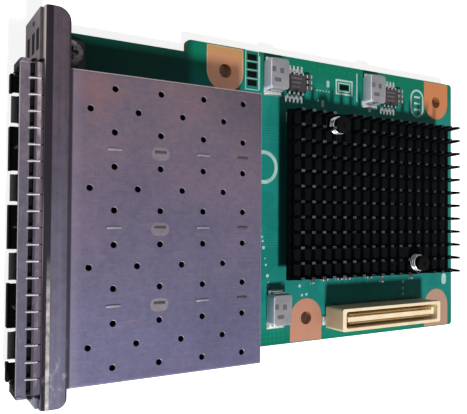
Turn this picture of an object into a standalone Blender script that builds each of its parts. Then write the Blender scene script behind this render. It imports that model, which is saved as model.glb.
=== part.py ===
"""A four-port mezzanine network card, lying component side up.

X runs from the module ports at the front to the card's rear edge, Y across the ports and Z up from the table. Every
piece is modelled in the card's own frame: X starts at the mouth of the cage, Y on the cage's centre line and Z on the
table. The empty card_origin carries all of them and brings the middle of the card's box over the world's origin.
Sizes are in metres, written in millimetres through MM.
"""

import math

import bmesh
import bpy
from mathutils import Matrix, Vector

MM = 0.001

# General
GAP = 0.3 * MM  # left open between pieces that seat on or in each other
BITE = 0.15 * MM  # how deep a shape sinks into the one that it is joined to
OVERRUN = 1.0 * MM  # how far a cutter runs past the face that it opens
MERGE = 0.001 * MM  # points nearer than this are one

# Ports
PORT_COUNT = 4
PORT_PITCH = 14.25 * MM
PORT_TO_WALL = 6.875 * MM  # from an outer port's middle to the cage's outer face
PORT_CENTRES = [PORT_PITCH * (port - (PORT_COUNT - 1) / 2) for port in range(PORT_COUNT)]
DIVIDER_CENTRES = [(low + high) / 2 for low, high in zip(PORT_CENTRES, PORT_CENTRES[1:])]

# EMI gasket
GASKET_SHEET = 0.2 * MM
GASKET_LIP = 0.9 * MM  # how far its front is folded down before the cage's edge
GASKET_BAND_END = 1.6 * MM
GASKET_BULGE = 0.5 * MM
TOP_FINGERS = 20
SIDE_FINGERS = 2
SIDE_FINGER_PITCH = 2.9 * MM
FINGER_RISE = 0.35 * MM  # how far out a finger stands where its window ends
FINGER_LEG = 0.2 * MM
FINGER_SLIT = 0.16 * MM
TOP_WINDOW_END = 2.35 * MM
TOP_CREST = 2.8 * MM
TOP_TAIL = 4.4 * MM
SIDE_WINDOW_END = 2.1 * MM
SIDE_CREST = 2.5 * MM
SIDE_TAIL = 3.0 * MM
LOWER_FINGER_PITCH = 2.4 * MM
LOWER_FINGER_TAIL = 0.25 * MM  # how far down a lower finger's end stands

# Circuit board's thickness
BOARD_THICKNESS = 1.57 * MM
BOARD_HEIGHT = 1.78 * MM  # from the table to its underside
BOARD_TOP = BOARD_HEIGHT + BOARD_THICKNESS
SEAT = BOARD_TOP + GAP  # where components stand

# Cage
CAGE_SHEET = 0.3 * MM
CAGE_FRONT = GASKET_SHEET + GAP
CAGE_LENGTH = 48.4 * MM
CAGE_HEIGHT = 9.4 * MM  # from the board to its top
CAGE_FOLD = 0.5 * MM
CAGE_REAR = CAGE_FRONT + CAGE_LENGTH
CAGE_TOP = BOARD_TOP + CAGE_HEIGHT
CAGE_HALF_WIDTH = (PORT_COUNT - 1) / 2 * PORT_PITCH + PORT_TO_WALL
LEG_WIDTH = 0.6 * MM
LEG_LENGTH = 1.2 * MM  # below the board
LEG_HOLE_RADIUS = 0.65 * MM
LEG_FIRST = 8.0 * MM  # behind the cage's front
LEG_PITCH = 12.0 * MM
LEG_LAST = 3.0 * MM  # at least this far before the cage's rear
LEG_COUNT = int((CAGE_LENGTH - LEG_FIRST - LEG_LAST) / LEG_PITCH) + 1
LOCK_LENGTH = 2.1 * MM
LOCK_REACH = 1.1 * MM
LOCK_LOW = 3.0 * MM  # above the board
LOCK_HIGH = 6.0 * MM

# Vent holes in the cage's top
VENT_RADIUS = 0.64 * MM
VENT_SIDES = 8
VENT_FIRST = 11.7 * MM  # behind the cage's front
VENT_PITCH = 4.55 * MM
VENT_SPREAD = 3.975 * MM  # sideways from the port's middle, in every second column
VENT_LAST = 3.0 * MM  # at least this far before the cage's rear
VENT_COLUMNS = int((CAGE_LENGTH - VENT_FIRST - VENT_LAST) / VENT_PITCH) + 1
VENT_X = [CAGE_FRONT + VENT_FIRST + column * VENT_PITCH for column in range(VENT_COLUMNS)]

# Dividers
DIVIDER_SHEET = 0.4 * MM
DIVIDER_INSET = 0.2 * MM  # behind the cage's front
TAB_LENGTH = 0.8 * MM
TAB_PROUD = 0.15 * MM
PIN_LENGTH = 1.0 * MM  # below the board
PIN_HOLE_RADIUS = 0.75 * MM
DIVIDER_FIRST_PIN = 12.0 * MM  # behind the cage's front
DIVIDER_LAST_PIN = 5.0 * MM  # before the module connectors

# Cage base
BASE_FLANGE = 2.0 * MM
NOTCH_WIDTH = 6.2 * MM
TONGUE_WIDTH = 5.0 * MM
TONGUE_INSET = 0.75 * MM  # its tip behind the base's front edge
TONGUE_LENGTH = 7.3 * MM
TONGUE_DROP = 0.5 * MM
CATCH_START = 2.2 * MM  # from the tongue's tip to the latch hole
CATCH_LENGTH = 2.2 * MM
CATCH_WIDTH = 2.6 * MM
LIP_TOE = 0.15 * MM  # half the lip's thickness at its foot
LIP_LEAN = 0.3 * MM  # how far back its top starts
LIP_DEPTH = 0.3 * MM

# Module connectors
CONNECTOR_WIDTH = 11.5 * MM
CONNECTOR_LENGTH = 8.8 * MM
CONNECTOR_HEIGHT = 6.6 * MM
CONNECTOR_BEVEL = 0.8 * MM
CONNECTOR_SLOT_WIDTH = 9.0 * MM
CONNECTOR_SLOT_HEIGHT = 1.7 * MM
CONNECTOR_SLOT_DEPTH = 5.5 * MM
CONNECTOR_SLOT_MIDDLE = 3.6 * MM  # above its seat
CONTACT_COUNT = 10
CONTACT_PITCH = 0.8 * MM
CONTACT_WIDTH = 0.35 * MM
CONTACT_RISE = 0.3 * MM
PEG_RADIUS = 0.6 * MM
PEG_LENGTH = 1.4 * MM  # below the connector's seat
PEG_SPREAD = 4.4 * MM
PEG_SETBACK = 5.3 * MM  # behind the connector's front
CONNECTOR_REAR = CAGE_REAR - CAGE_SHEET - GAP
CONNECTOR_FRONT = CONNECTOR_REAR - CONNECTOR_LENGTH
PEG_X = CONNECTOR_FRONT + PEG_SETBACK

# Screw lands and the board's edges beside the cage
MOUNT_HOLE_RADIUS = 1.6 * MM
LAND_RADIUS = 4.6 * MM
LAND_RISE = 0.05 * MM  # above the board
LAND_MARGIN = 0.25 * MM  # from the board's edge
LAND_STEPS = 6
HOLE_INSET = 5.6 * MM  # from the board's side edges
EAR_WIDTH = 9.05 * MM  # the board past the cage's +Y side, where the face plate's foot stands
BOARD_STEP_DEPTH = 2.7 * MM  # how far the +Y edge steps out beside the first hole
BOARD_LEDGE = 1.15 * MM  # past the cage's -Y side
BOARD_LEDGE_END = 1.6 * MM  # past the cage's rear
BOARD_CORNER = 0.8 * MM
FIRST_HOLE_LEAD = 3.9 * MM  # before the cage's rear
STEP_LEAD = 9.35 * MM  # from that hole to the step
FIRST_HOLE_X = CAGE_REAR - FIRST_HOLE_LEAD
BOARD_STEP = FIRST_HOLE_X - STEP_LEAD
EAR_EDGE = CAGE_HALF_WIDTH + EAR_WIDTH
BOARD_LEFT = EAR_EDGE + BOARD_STEP_DEPTH  # the +Y edge behind the step

# Face plate
PLATE_FRONT = 3.3 * MM
PLATE_SHEET = 0.6 * MM
PLATE_PAST_EAR = 0.9 * MM
PLATE_PAST_CAGE = 2.65 * MM  # at the -Y end
PLATE_LEFT = EAR_EDGE + PLATE_PAST_EAR
PLATE_RIGHT = -CAGE_HALF_WIDTH - PLATE_PAST_CAGE
PLATE_TOP = 14.2 * MM
PLATE_LEDGE = 0.5 * MM
PLATE_RISER = 1.0 * MM
PLATE_BEND = 0.9 * MM  # outer radius
FLANGE_DEPTH = 4.4 * MM  # from the riser's face to the rear edge
FLANGE_LEFT_CORNER = 2.4 * MM
FLANGE_RIGHT_CORNER = 1.7 * MM
FLANGE_CORNER_STEPS = 6
BEND_STEPS = 4
PLATE_SLOTS = [2.75 * MM, 6.85 * MM, 10.4 * MM]  # heights of their middles
PLATE_SLOT_WIDTH = 3.6 * MM
PLATE_SLOT_HEIGHT = 1.15 * MM
PLATE_SLOT_INSET = 5.2 * MM
RIVET_INSET = 1.5 * MM
PLATE_SLOT_Y = PLATE_LEFT - PLATE_SLOT_INSET
RIVET_Y = PLATE_LEFT - RIVET_INSET
RIVET_HEIGHT = 6.9 * MM
RIVET_RADIUS = 0.7 * MM
RIVET_FACE_RADIUS = 0.42 * MM
RIVET_PROUD = 0.25 * MM
FOOT_WIDTH = 5.8 * MM
FOOT_LENGTH = 10.2 * MM  # behind the plate's front face
FOOT_CORNER = 1.2 * MM
FOOT_CORNER_STEPS = 3
SCREW_SETBACK = 7.1 * MM  # behind the plate's front face
SCREW_INSET = 4.4 * MM  # from the board's edge beside it
SCREW_X = PLATE_FRONT + SCREW_SETBACK
SCREW_Y = EAR_EDGE - SCREW_INSET
PLATE_BACK = PLATE_FRONT + PLATE_SHEET
BOARD_FRONT = PLATE_BACK + GAP
WINDOW_HALF_WIDTH = CAGE_HALF_WIDTH + GASKET_SHEET + 2 * GAP
WINDOW_LOW = BOARD_TOP - GASKET_SHEET - GAP - BITE

# Face plate screw
SHANK_RADIUS = 1.25 * MM
SCREW_HEAD_RADIUS = 2.5 * MM
SCREW_HEAD_HEIGHT = 1.5 * MM
SCREW_HEAD_RIM = 0.75 * MM  # the straight part of its height
SCREW_HEAD_FLAT = 1.9 * MM  # the radius of its flat top
SCREW_TIP = 0.5 * MM  # above the table
RECESS_WIDTH = 0.7 * MM
RECESS_LENGTH = 2.6 * MM
RECESS_DEPTH = 0.9 * MM

# Heat sink
SINK_COLUMNS = 18
SINK_ROWS = 12
SINK_PITCH_X = 2.98 * MM
SINK_PITCH_Y = 3.41 * MM
FIN_ROOT_X = 1.3 * MM
FIN_ROOT_Y = 1.0 * MM
FIN_TIP_X = 0.95 * MM
FIN_TIP_Y = 0.55 * MM
FIN_HEIGHT = 4.15 * MM
SINK_BASE = 1.1 * MM
SINK_BORDER = 0.15 * MM  # past the outer fins
FIN_CLEARANCE = 3.3 * MM  # round a push pin
SINK_LENGTH = (SINK_COLUMNS - 1) * SINK_PITCH_X + FIN_ROOT_X + 2 * SINK_BORDER
SINK_WIDTH = (SINK_ROWS - 1) * SINK_PITCH_Y + FIN_ROOT_Y + 2 * SINK_BORDER
SINK_SETBACK = 10.47 * MM  # behind the cage
STAGE_STRIP = 13.15 * MM  # the board between the heat sink and its +Y edge, for the power stages
CONNECTOR_STRIP = 15.15 * MM  # the board between the heat sink and its -Y edge, for the connector
SINK_X = CAGE_REAR + SINK_SETBACK + SINK_LENGTH / 2
SINK_Y = BOARD_LEFT - STAGE_STRIP - SINK_WIDTH / 2
BOARD_RIGHT = SINK_Y - SINK_WIDTH / 2 - CONNECTOR_STRIP  # the -Y edge behind the cage

# Controller chip and thermal pad
CHIP_WIDTH = 25.0 * MM
CHIP_HEIGHT = 1.8 * MM
CHIP_LID = 19.0 * MM
CHIP_LID_HEIGHT = 0.2 * MM
PAD_WIDTH = 18.0 * MM
PAD_THICKNESS = 0.4 * MM
SINK_LOW = SEAT + CHIP_HEIGHT + CHIP_LID_HEIGHT + PAD_THICKNESS + 2 * GAP
SINK_TOP = SINK_LOW + SINK_BASE
FIN_TOP = SINK_TOP + FIN_HEIGHT

# Push pins and their springs
PUSH_PIN_X = 13.2 * MM  # from the heat sink's middle
PUSH_PIN_Y = 16.4 * MM
PUSH_SHANK_RADIUS = 1.1 * MM
PUSH_HOLE_RADIUS = 1.5 * MM
PUSH_HEAD_RADIUS = 2.0 * MM
PUSH_HEAD_HEIGHT = 0.7 * MM
PUSH_HEAD_DROP = 0.6 * MM  # below the fins' tips
PUSH_HEAD_BEVEL = 0.3 * MM
BARB_RADIUS = 1.7 * MM
BARB_TIP_RADIUS = 0.8 * MM
BARB_SPLIT = 0.5 * MM
SPRING_RADIUS = 1.95 * MM
SPRING_WIRE = 0.2 * MM
SPRING_TURNS = 3
SPRING_POINTS = 8
PUSH_PINS = [(SINK_X - PUSH_PIN_X, SINK_Y + PUSH_PIN_Y), (SINK_X + PUSH_PIN_X, SINK_Y - PUSH_PIN_Y)]
PUSH_HEAD_TOP = FIN_TOP - PUSH_HEAD_DROP

# Inductors
INDUCTOR_X = 5.0 * MM
INDUCTOR_Y = 7.0 * MM
INDUCTOR_HEIGHT = 2.85 * MM
INDUCTOR_EDGE = 0.35 * MM
CLIP_WIDTH = 3.2 * MM
CLIP_HEIGHT = 1.5 * MM
CLIP_PROUD = 0.3 * MM
STAGE_PITCH = 30.0 * MM  # between the two power stages, each an inductor, capacitors and a power IC
STAGE_SETBACK = 8.8 * MM  # from the cage to the first one's inductor
STAGE_INSET = 5.1 * MM  # from the board's +Y edge
STAGES = [CAGE_REAR + STAGE_SETBACK, CAGE_REAR + STAGE_SETBACK + STAGE_PITCH]
STAGE_Y = BOARD_LEFT - STAGE_INSET
LONE_INDUCTOR_SETBACK = 9.9 * MM
LONE_INDUCTOR_INSET = 8.4 * MM
LONE_INDUCTOR_X = CAGE_REAR + LONE_INDUCTOR_SETBACK
LONE_INDUCTOR_Y = BOARD_RIGHT + LONE_INDUCTOR_INSET
INDUCTORS = [(x, STAGE_Y) for x in STAGES] + [(LONE_INDUCTOR_X, LONE_INDUCTOR_Y)]

# Ceramic capacitors
CAPACITOR_LENGTH = 1.6 * MM
CAPACITOR_WIDTH = 0.85 * MM
CAPACITOR_HEIGHT = 0.8 * MM
CAPACITOR_END = 0.35 * MM
CAPACITOR_STEP = 0.05 * MM  # how far the end caps stand out from the body
CAPACITOR_PITCH = 1.35 * MM
CAPACITORS_PER_STACK = 3
STACK_OFFSET = (9.75 * MM, -1.85 * MM)  # the stack's first capacitor from its inductor
CAPACITOR_STACKS = [(x + STACK_OFFSET[0], STAGE_Y + STACK_OFFSET[1]) for x in STAGES]

# Power ICs
IC_X = 4.9 * MM
IC_Y = 3.9 * MM
IC_BODY = 1.3 * MM
IC_BODY_RISE = 0.2 * MM
IC_BEVEL = 0.35 * MM
LEAD_COUNT = 4
LEAD_PITCH = 1.27 * MM
LEAD_WIDTH = 0.42 * MM
LEAD_SHEET = 0.2 * MM
LEAD_REACH = 1.6 * MM
LEAD_FOOT = 0.8 * MM
IC_OFFSET = (5.95 * MM, -1.2 * MM)  # from its inductor
POWER_ICS = [(x + IC_OFFSET[0], STAGE_Y + IC_OFFSET[1]) for x in STAGES]

# Chip resistors
RESISTOR_LENGTH = 1.6 * MM
RESISTOR_WIDTH = 0.8 * MM
RESISTOR_HEIGHT = 0.45 * MM
RESISTOR_END = 0.3 * MM
RESISTOR_STEP = 0.05 * MM
RESISTORS = [  # from the heat sink's middle, from its -Y edge, and the turn in degrees
    (-16.3 * MM, 0.7 * MM, 90),
    (-12.6 * MM, 0.6 * MM, 0),
    (-8.2 * MM, 0.6 * MM, 0),
    (-5.6 * MM, 0.6 * MM, 0),
    (1.5 * MM, 0.6 * MM, 0),
    (6.0 * MM, 1.4 * MM, 90),
    (16.5 * MM, 0.9 * MM, 90),
]

# Mezzanine connector
MEZZ_WIDTH = 5.3 * MM
MEZZ_HEIGHT = 6.3 * MM
MEZZ_RIM = 0.7 * MM
MEZZ_END_RIM = 1.1 * MM
MEZZ_CORNER = 0.5 * MM
MEZZ_TROUGH = 4.4 * MM
TONGUE_THICKNESS = 1.1 * MM
TONGUE_END_GAP = 0.8 * MM
TONGUE_LOW = 0.5 * MM  # its top below the rim
MEZZ_KEY = (0.8 * MM, 1.8 * MM)  # the polarising key's length and width
MEZZ_KEY_GAP = 0.4 * MM  # from the tongue
MEZZ_KEY_LOW = 1.3 * MM  # its top below the rim
MEZZ_CONTACTS = 24
MEZZ_CONTACT_PITCH = 1.15 * MM
MEZZ_CONTACT_WIDTH = 0.5 * MM
MEZZ_CONTACT_SHEET = 0.25 * MM
MEZZ_CONTACT_BAR = 0.6 * MM
MEZZ_CONTACT_LOW = 0.4 * MM  # its tip below the tongue's top
MEZZ_MARGIN = 2.6 * MM  # from the end contact's pitch to the housing's end
MEZZ_LENGTH = MEZZ_CONTACTS * MEZZ_CONTACT_PITCH + 2 * MEZZ_MARGIN
MEZZ_PEG_INSET = 2.2 * MM
MEZZ_PEG_SPREAD = MEZZ_LENGTH / 2 - MEZZ_PEG_INSET
MEZZ_PEG_RADIUS = 0.7 * MM

# What follows one another along the board's -Y edge, from the lone inductor to the rear edge
LAND_CLEARANCE = 1.55 * MM  # from the lone inductor to the next land
MEZZ_CLEARANCE = 1.2 * MM  # from a land to the mezzanine connector
REAR_INSET = 6.3 * MM  # from the rear holes to the board's rear edge
MIDDLE_HOLE_X = LONE_INDUCTOR_X + INDUCTOR_X / 2 + LAND_CLEARANCE + LAND_RADIUS
MEZZ_INSET = 5.35 * MM  # from the board's -Y edge
MEZZ_X = MIDDLE_HOLE_X + LAND_RADIUS + MEZZ_CLEARANCE + MEZZ_LENGTH / 2
MEZZ_Y = BOARD_RIGHT + MEZZ_INSET
REAR_HOLE_X = MEZZ_X + MEZZ_LENGTH / 2 + MEZZ_CLEARANCE + LAND_RADIUS
BOARD_REAR = REAR_HOLE_X + REAR_INSET
MOUNT_HOLES = [  # X, Y and the side edge that its land runs to
    (FIRST_HOLE_X, BOARD_LEFT - HOLE_INSET, 1),
    (REAR_HOLE_X, BOARD_LEFT - HOLE_INSET, 1),
    (MIDDLE_HOLE_X, BOARD_RIGHT + HOLE_INSET, -1),
    (REAR_HOLE_X, BOARD_RIGHT + HOLE_INSET, -1),
]

PEG_CLEARANCE = 0.3 * MM
ROUND_SIDES = 14
SMALL_SIDES = 6


def remove_old_objects():
    """Clears the scene of whatever it holds."""
    for old in list(bpy.data.objects):
        bpy.data.objects.remove(old, do_unlink=True)


def card_origin():
    """The empty that carries every piece and centres the card's box over the world's origin."""
    origin = bpy.data.objects.new("card_origin", None)
    middle_x = BOARD_REAR / 2
    middle_y = (BOARD_LEFT + PLATE_RIGHT) / 2
    origin.location = (-middle_x, -middle_y, 0)
    bpy.context.scene.collection.objects.link(origin)
    return origin


# Materials


def surface(name, colour, roughness, metallic):
    """A Principled BSDF material, made once for each name."""
    made = bpy.data.materials.get(name)
    if made:
        return made
    made = bpy.data.materials.new(name)
    made.use_nodes = True
    shader = made.node_tree.nodes["Principled BSDF"]
    shader.inputs["Base Color"].default_value = (*colour, 1)
    shader.inputs["Roughness"].default_value = roughness
    shader.inputs["Metallic"].default_value = metallic
    return made


def solder_mask():
    return surface("solder_mask_green", (0.01, 0.16, 0.09), 0.45, 0.0)


def cage_steel():
    return surface("plated_cage_steel", (0.32, 0.30, 0.36), 0.4, 0.9)


def plate_steel():
    return surface("plated_plate_steel", (0.27, 0.24, 0.26), 0.42, 0.9)


def spring_bronze():
    return surface("plated_spring_bronze", (0.42, 0.38, 0.44), 0.35, 0.9)


def spring_steel():
    return surface("spring_steel", (0.62, 0.62, 0.64), 0.3, 1.0)


def screw_steel():
    return surface("screw_steel", (0.4, 0.4, 0.4), 0.35, 1.0)


def black_anodising():
    return surface("black_anodising", (0.012, 0.014, 0.016), 0.5, 0.3)


def black_plastic():
    return surface("black_plastic", (0.02, 0.02, 0.022), 0.55, 0.0)


def package_epoxy():
    return surface("package_epoxy", (0.03, 0.03, 0.035), 0.5, 0.0)


def pad_silicone():
    return surface("thermal_pad_silicone", (0.45, 0.45, 0.47), 0.8, 0.0)


def ferrite():
    return surface("ferrite_grey", (0.36, 0.34, 0.38), 0.6, 0.1)


def ceramic():
    return surface("capacitor_ceramic", (0.32, 0.2, 0.16), 0.5, 0.0)


def resistor_ceramic():
    return surface("resistor_ceramic", (0.5, 0.5, 0.48), 0.5, 0.0)


def cream_plastic():
    return surface("cream_plastic", (0.78, 0.62, 0.4), 0.5, 0.0)


def contact_gold():
    return surface("contact_gold", (0.75, 0.5, 0.2), 0.3, 1.0)


# Meshes and objects


def swept(u, v, along, axis):
    """Where a profile's point lies: the profile's plane is crossed by the axis, and along is measured on it."""
    if axis == "X":
        return Vector((along, u, v))
    if axis == "Y":
        return Vector((u, along, v))
    return Vector((u, v, along))


def add_prism(mesh, outline, low, high, axis="Z"):
    """Adds the outline swept along the axis. The outline holds XY points, XZ along Y, or YZ along X."""
    cap = mesh.faces.new([mesh.verts.new(swept(u, v, low, axis)) for u, v in outline])
    grown = bmesh.ops.extrude_face_region(mesh, geom=[cap])["geom"]
    moved = [part for part in grown if isinstance(part, bmesh.types.BMVert)]
    bmesh.ops.translate(mesh, verts=moved, vec=swept(0, 0, high - low, axis))


def add_box(mesh, x, y, z):
    """Adds a box from three (low, high) pairs."""
    add_prism(mesh, rectangle(x, y), *z)


def add_cylinder(mesh, x, y, radius, low, high, sides=ROUND_SIDES, top_radius=None):
    """Adds an upright cylinder, or a cone's frustum when top_radius differs."""
    bmesh.ops.create_cone(
        mesh,
        cap_ends=True,
        segments=sides,
        radius1=radius,
        radius2=radius if top_radius is None else top_radius,
        depth=high - low,
        matrix=Matrix.Translation((x, y, (low + high) / 2)),
    )


def add_turned(mesh, profile, sides):
    """Adds the solid turned round Z from (radius, height) points that start and end on the axis."""
    line = [mesh.verts.new((radius, 0, height)) for radius, height in profile]
    edges = [mesh.edges.new(pair) for pair in zip(line, line[1:])]
    bmesh.ops.spin(
        mesh,
        geom=line + edges,
        cent=(0, 0, 0),
        axis=(0, 0, 1),
        dvec=(0, 0, 0),
        angle=2 * math.pi,
        steps=sides,
        use_merge=True,
    )
    bmesh.ops.remove_doubles(mesh, verts=mesh.verts, dist=MERGE)


def rectangle(x, y):
    """The four corners of a rectangle given by two (low, high) pairs."""
    return [(x[0], y[0]), (x[1], y[0]), (x[1], y[1]), (x[0], y[1])]


def arc(x, y, radius, start, end, steps):
    """Points on an arc round (x, y), from start to end in degrees."""
    turns = [math.radians(start + (end - start) * step / steps) for step in range(steps + 1)]
    return [(x + radius * math.cos(turn), y + radius * math.sin(turn)) for turn in turns]


def rounded_rectangle(x, y, radius, steps=2):
    """A rectangle with arcs for corners."""
    right, top = x[1] - radius, y[1] - radius
    left, bottom = x[0] + radius, y[0] + radius
    corners = [(right, bottom, -90), (right, top, 0), (left, top, 90), (left, bottom, 180)]
    return [point for u, v, turn in corners for point in arc(u, v, radius, turn, turn + 90, steps)]


def around(middle, width):
    """The (low, high) pair of a width laid round a middle."""
    return (middle - width / 2, middle + width / 2)


def new_object(name, mesh, material=None):
    """Turns a bmesh into an object carried by card_origin, with its faces pointing out."""
    bmesh.ops.recalc_face_normals(mesh, faces=mesh.faces)
    data = bpy.data.meshes.new(name)
    mesh.to_mesh(data)
    mesh.free()
    if material:
        data.materials.append(material)
    return link(name, data)


def link(name, data):
    """Puts mesh or curve data into the scene as an object carried by card_origin."""
    made = bpy.data.objects.new(name, data)
    made.parent = bpy.data.objects["card_origin"]
    bpy.context.scene.collection.objects.link(made)
    return made


def boolean(target, mesh, operation, name):
    """Gives the target a Boolean with a hidden object that holds the mesh."""
    operand = new_object(f"{target.name}_{name}", mesh)
    operand.hide_render = True
    operand.display_type = "WIRE"
    step = target.modifiers.new(name, "BOOLEAN")
    step.operation = operation
    step.solver = "EXACT"
    step.object = operand


def cut(target, mesh, name):
    boolean(target, mesh, "DIFFERENCE", name)


def join(target, mesh, name):
    boolean(target, mesh, "UNION", name)


def shade_round(target, degrees=35):
    """Shades a round piece smooth, with sharp edges where it turns by more than the angle."""
    target.data.shade_smooth()
    target.data.set_sharp_from_angle(angle=math.radians(degrees))


def settled(target):
    """The target's mesh with its modifiers applied, for copies to share."""
    graph = bpy.context.evaluated_depsgraph_get()
    return bpy.data.meshes.new_from_object(target.evaluated_get(graph))


def seated_copies(name, target, places):
    """Replaces the target by one object for each (x, y, degrees), which share its settled mesh."""
    shared = settled(target)
    shared.name = name
    for helper in [step.object for step in target.modifiers if step.type == "BOOLEAN"] + [target]:
        bpy.data.objects.remove(helper, do_unlink=True)
    for number, (x, y, degrees) in enumerate(places, start=1):
        copy = link(f"{name}_{number}", shared)
        copy.location = (x, y, SEAT)
        copy.rotation_euler.z = math.radians(degrees)


# Circuit board


def board_outline():
    """The board's outline, with the step in its +Y edge and the ledge under the cage's -Y side."""
    ledge = -CAGE_HALF_WIDTH - BOARD_LEDGE
    ledge_end = CAGE_REAR + BOARD_LEDGE_END
    turn = BOARD_CORNER
    outline = [(BOARD_FRONT, ledge), (ledge_end, ledge), (ledge_end, BOARD_RIGHT)]
    outline += arc(BOARD_REAR - turn, BOARD_RIGHT + turn, turn, -90, 0, 2)
    outline += arc(BOARD_REAR - turn, BOARD_LEFT - turn, turn, 0, 90, 2)
    outline += arc(BOARD_STEP + turn, BOARD_LEFT - turn, turn, 90, 180, 2)
    outline += [(BOARD_STEP, EAR_EDGE), (BOARD_FRONT, EAR_EDGE)]
    return outline


def land_outline(x, y, toward):
    """A screw land's outline: half a circle round the hole, and straight sides to the board's edge."""
    edge = BOARD_LEFT - LAND_MARGIN if toward > 0 else BOARD_RIGHT + LAND_MARGIN
    start = 180 if toward > 0 else 0
    sides = [(x + toward * LAND_RADIUS, edge), (x - toward * LAND_RADIUS, edge)]
    return arc(x, y, LAND_RADIUS, start, start + 180, LAND_STEPS) + sides


def leg_places():
    """Where the cage cover's press-fit legs stand."""
    return [CAGE_FRONT + LEG_FIRST + leg * LEG_PITCH for leg in range(LEG_COUNT)]


def divider_pin_places():
    """Where a divider's pins stand: one behind the mouth and one before the module connectors."""
    return [CAGE_FRONT + DIVIDER_FIRST_PIN, CONNECTOR_FRONT - DIVIDER_LAST_PIN]


def board_holes():
    """Every hole through the board as (x, y, radius, sides)."""
    holes = [(x, y, MOUNT_HOLE_RADIUS, ROUND_SIDES) for x, y, _ in MOUNT_HOLES]
    holes += [(x, y, PUSH_HOLE_RADIUS, ROUND_SIDES) for x, y in PUSH_PINS]
    holes += [(SCREW_X, SCREW_Y, SHANK_RADIUS + GAP, ROUND_SIDES)]
    wall = CAGE_HALF_WIDTH - CAGE_SHEET / 2
    holes += [(x, side * wall, LEG_HOLE_RADIUS, SMALL_SIDES) for x in leg_places() for side in (-1, 1)]
    holes += [(x, y, PIN_HOLE_RADIUS, SMALL_SIDES) for x in divider_pin_places() for y in DIVIDER_CENTRES]
    peg_hole = PEG_RADIUS + PEG_CLEARANCE
    holes += [(PEG_X, y + side * PEG_SPREAD, peg_hole, SMALL_SIDES) for y in PORT_CENTRES for side in (-1, 1)]
    mezz_hole = MEZZ_PEG_RADIUS + PEG_CLEARANCE
    holes += [(MEZZ_X + side * MEZZ_PEG_SPREAD, MEZZ_Y, mezz_hole, SMALL_SIDES) for side in (-1, 1)]
    return holes


def circuit_board():
    """The board with its raised screw lands and every hole through it."""
    mesh = bmesh.new()
    add_prism(mesh, board_outline(), BOARD_HEIGHT, BOARD_TOP)
    board = new_object("circuit_board", mesh, solder_mask())
    lands = bmesh.new()
    for x, y, toward in MOUNT_HOLES:
        add_prism(lands, land_outline(x, y, toward), BOARD_TOP - BITE, BOARD_TOP + LAND_RISE)
    join(board, lands, "screw_lands")
    holes = bmesh.new()
    for x, y, radius, sides in board_holes():
        add_cylinder(holes, x, y, radius, BOARD_HEIGHT - OVERRUN, BOARD_TOP + OVERRUN, sides)
    cut(board, holes, "holes")


# Cage


def cover_side(low, high):
    """A side wall's outline in XZ, with its press-fit legs, from the front's top round to the rear's top."""
    outline = [(CAGE_FRONT, high), (CAGE_FRONT, low)]
    for x in leg_places():
        tip = BOARD_HEIGHT - LEG_LENGTH
        front, rear = around(x, LEG_WIDTH)
        outline += [(front, low), (front, tip), (rear, tip), (rear, low)]
    return outline + [(CAGE_REAR, low), (CAGE_REAR, high)]


def cover_sheet(mesh):
    """The cover's outer skin: two side walls, the top and the rear wall, folded along the top."""
    rings = []
    for side in (1, -1):
        points = [(x, side * CAGE_HALF_WIDTH, z) for x, z in cover_side(SEAT, CAGE_TOP)]
        rings.append([mesh.verts.new(point) for point in points])
        mesh.faces.new(rings[-1])
    left, right = rings
    mesh.faces.new([left[0], left[-1], right[-1], right[0]])
    mesh.faces.new([left[-1], left[-2], right[-2], right[-1]])
    folds = [edge for edge in mesh.edges if all(vert.co.z == left[0].co.z for vert in edge.verts)]
    folds = [edge for edge in folds if not edge.is_boundary]
    bmesh.ops.bevel(mesh, geom=folds, offset=CAGE_FOLD, segments=2, profile=0.5, affect="EDGES")


def vent_places():
    """The vents' middles: one on the port's middle and a pair beside it in turn."""
    places = []
    for column, x in enumerate(VENT_X):
        spread = [0] if column % 2 == 0 else [-VENT_SPREAD, VENT_SPREAD]
        places += [(x, port + aside) for port in PORT_CENTRES for aside in spread]
    return places


def divider_tab_places():
    """The divider tabs lie in every second column of vents."""
    return VENT_X[1::2]


def cage_cover():
    mesh = bmesh.new()
    cover_sheet(mesh)
    cover = new_object("cage_cover", mesh, cage_steel())
    sheet = cover.modifiers.new("sheet", "SOLIDIFY")
    sheet.thickness = CAGE_SHEET
    sheet.offset = -1
    sheet.use_even_offset = True
    through = (CAGE_TOP - CAGE_SHEET - OVERRUN, CAGE_TOP + OVERRUN)
    holes = bmesh.new()
    for x, y in vent_places():
        add_cylinder(holes, x, y, VENT_RADIUS, *through, sides=VENT_SIDES)
    for x in divider_tab_places():
        for y in DIVIDER_CENTRES:
            add_box(holes, around(x, TAB_LENGTH + 2 * GAP), around(y, DIVIDER_SHEET + 2 * GAP), through)
    cut(cover, holes, "top_holes")
    locks = bmesh.new()
    for side in (-1, 1):
        wall = side * (CAGE_HALF_WIDTH - BITE)
        reach = side * (CAGE_HALF_WIDTH + LOCK_REACH)
        wedge = [(BOARD_FRONT, wall), (BOARD_FRONT, reach), (BOARD_FRONT + LOCK_LENGTH, wall)]
        add_prism(locks, wedge, BOARD_TOP + LOCK_LOW, BOARD_TOP + LOCK_HIGH)
    join(cover, locks, "locks")


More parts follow.
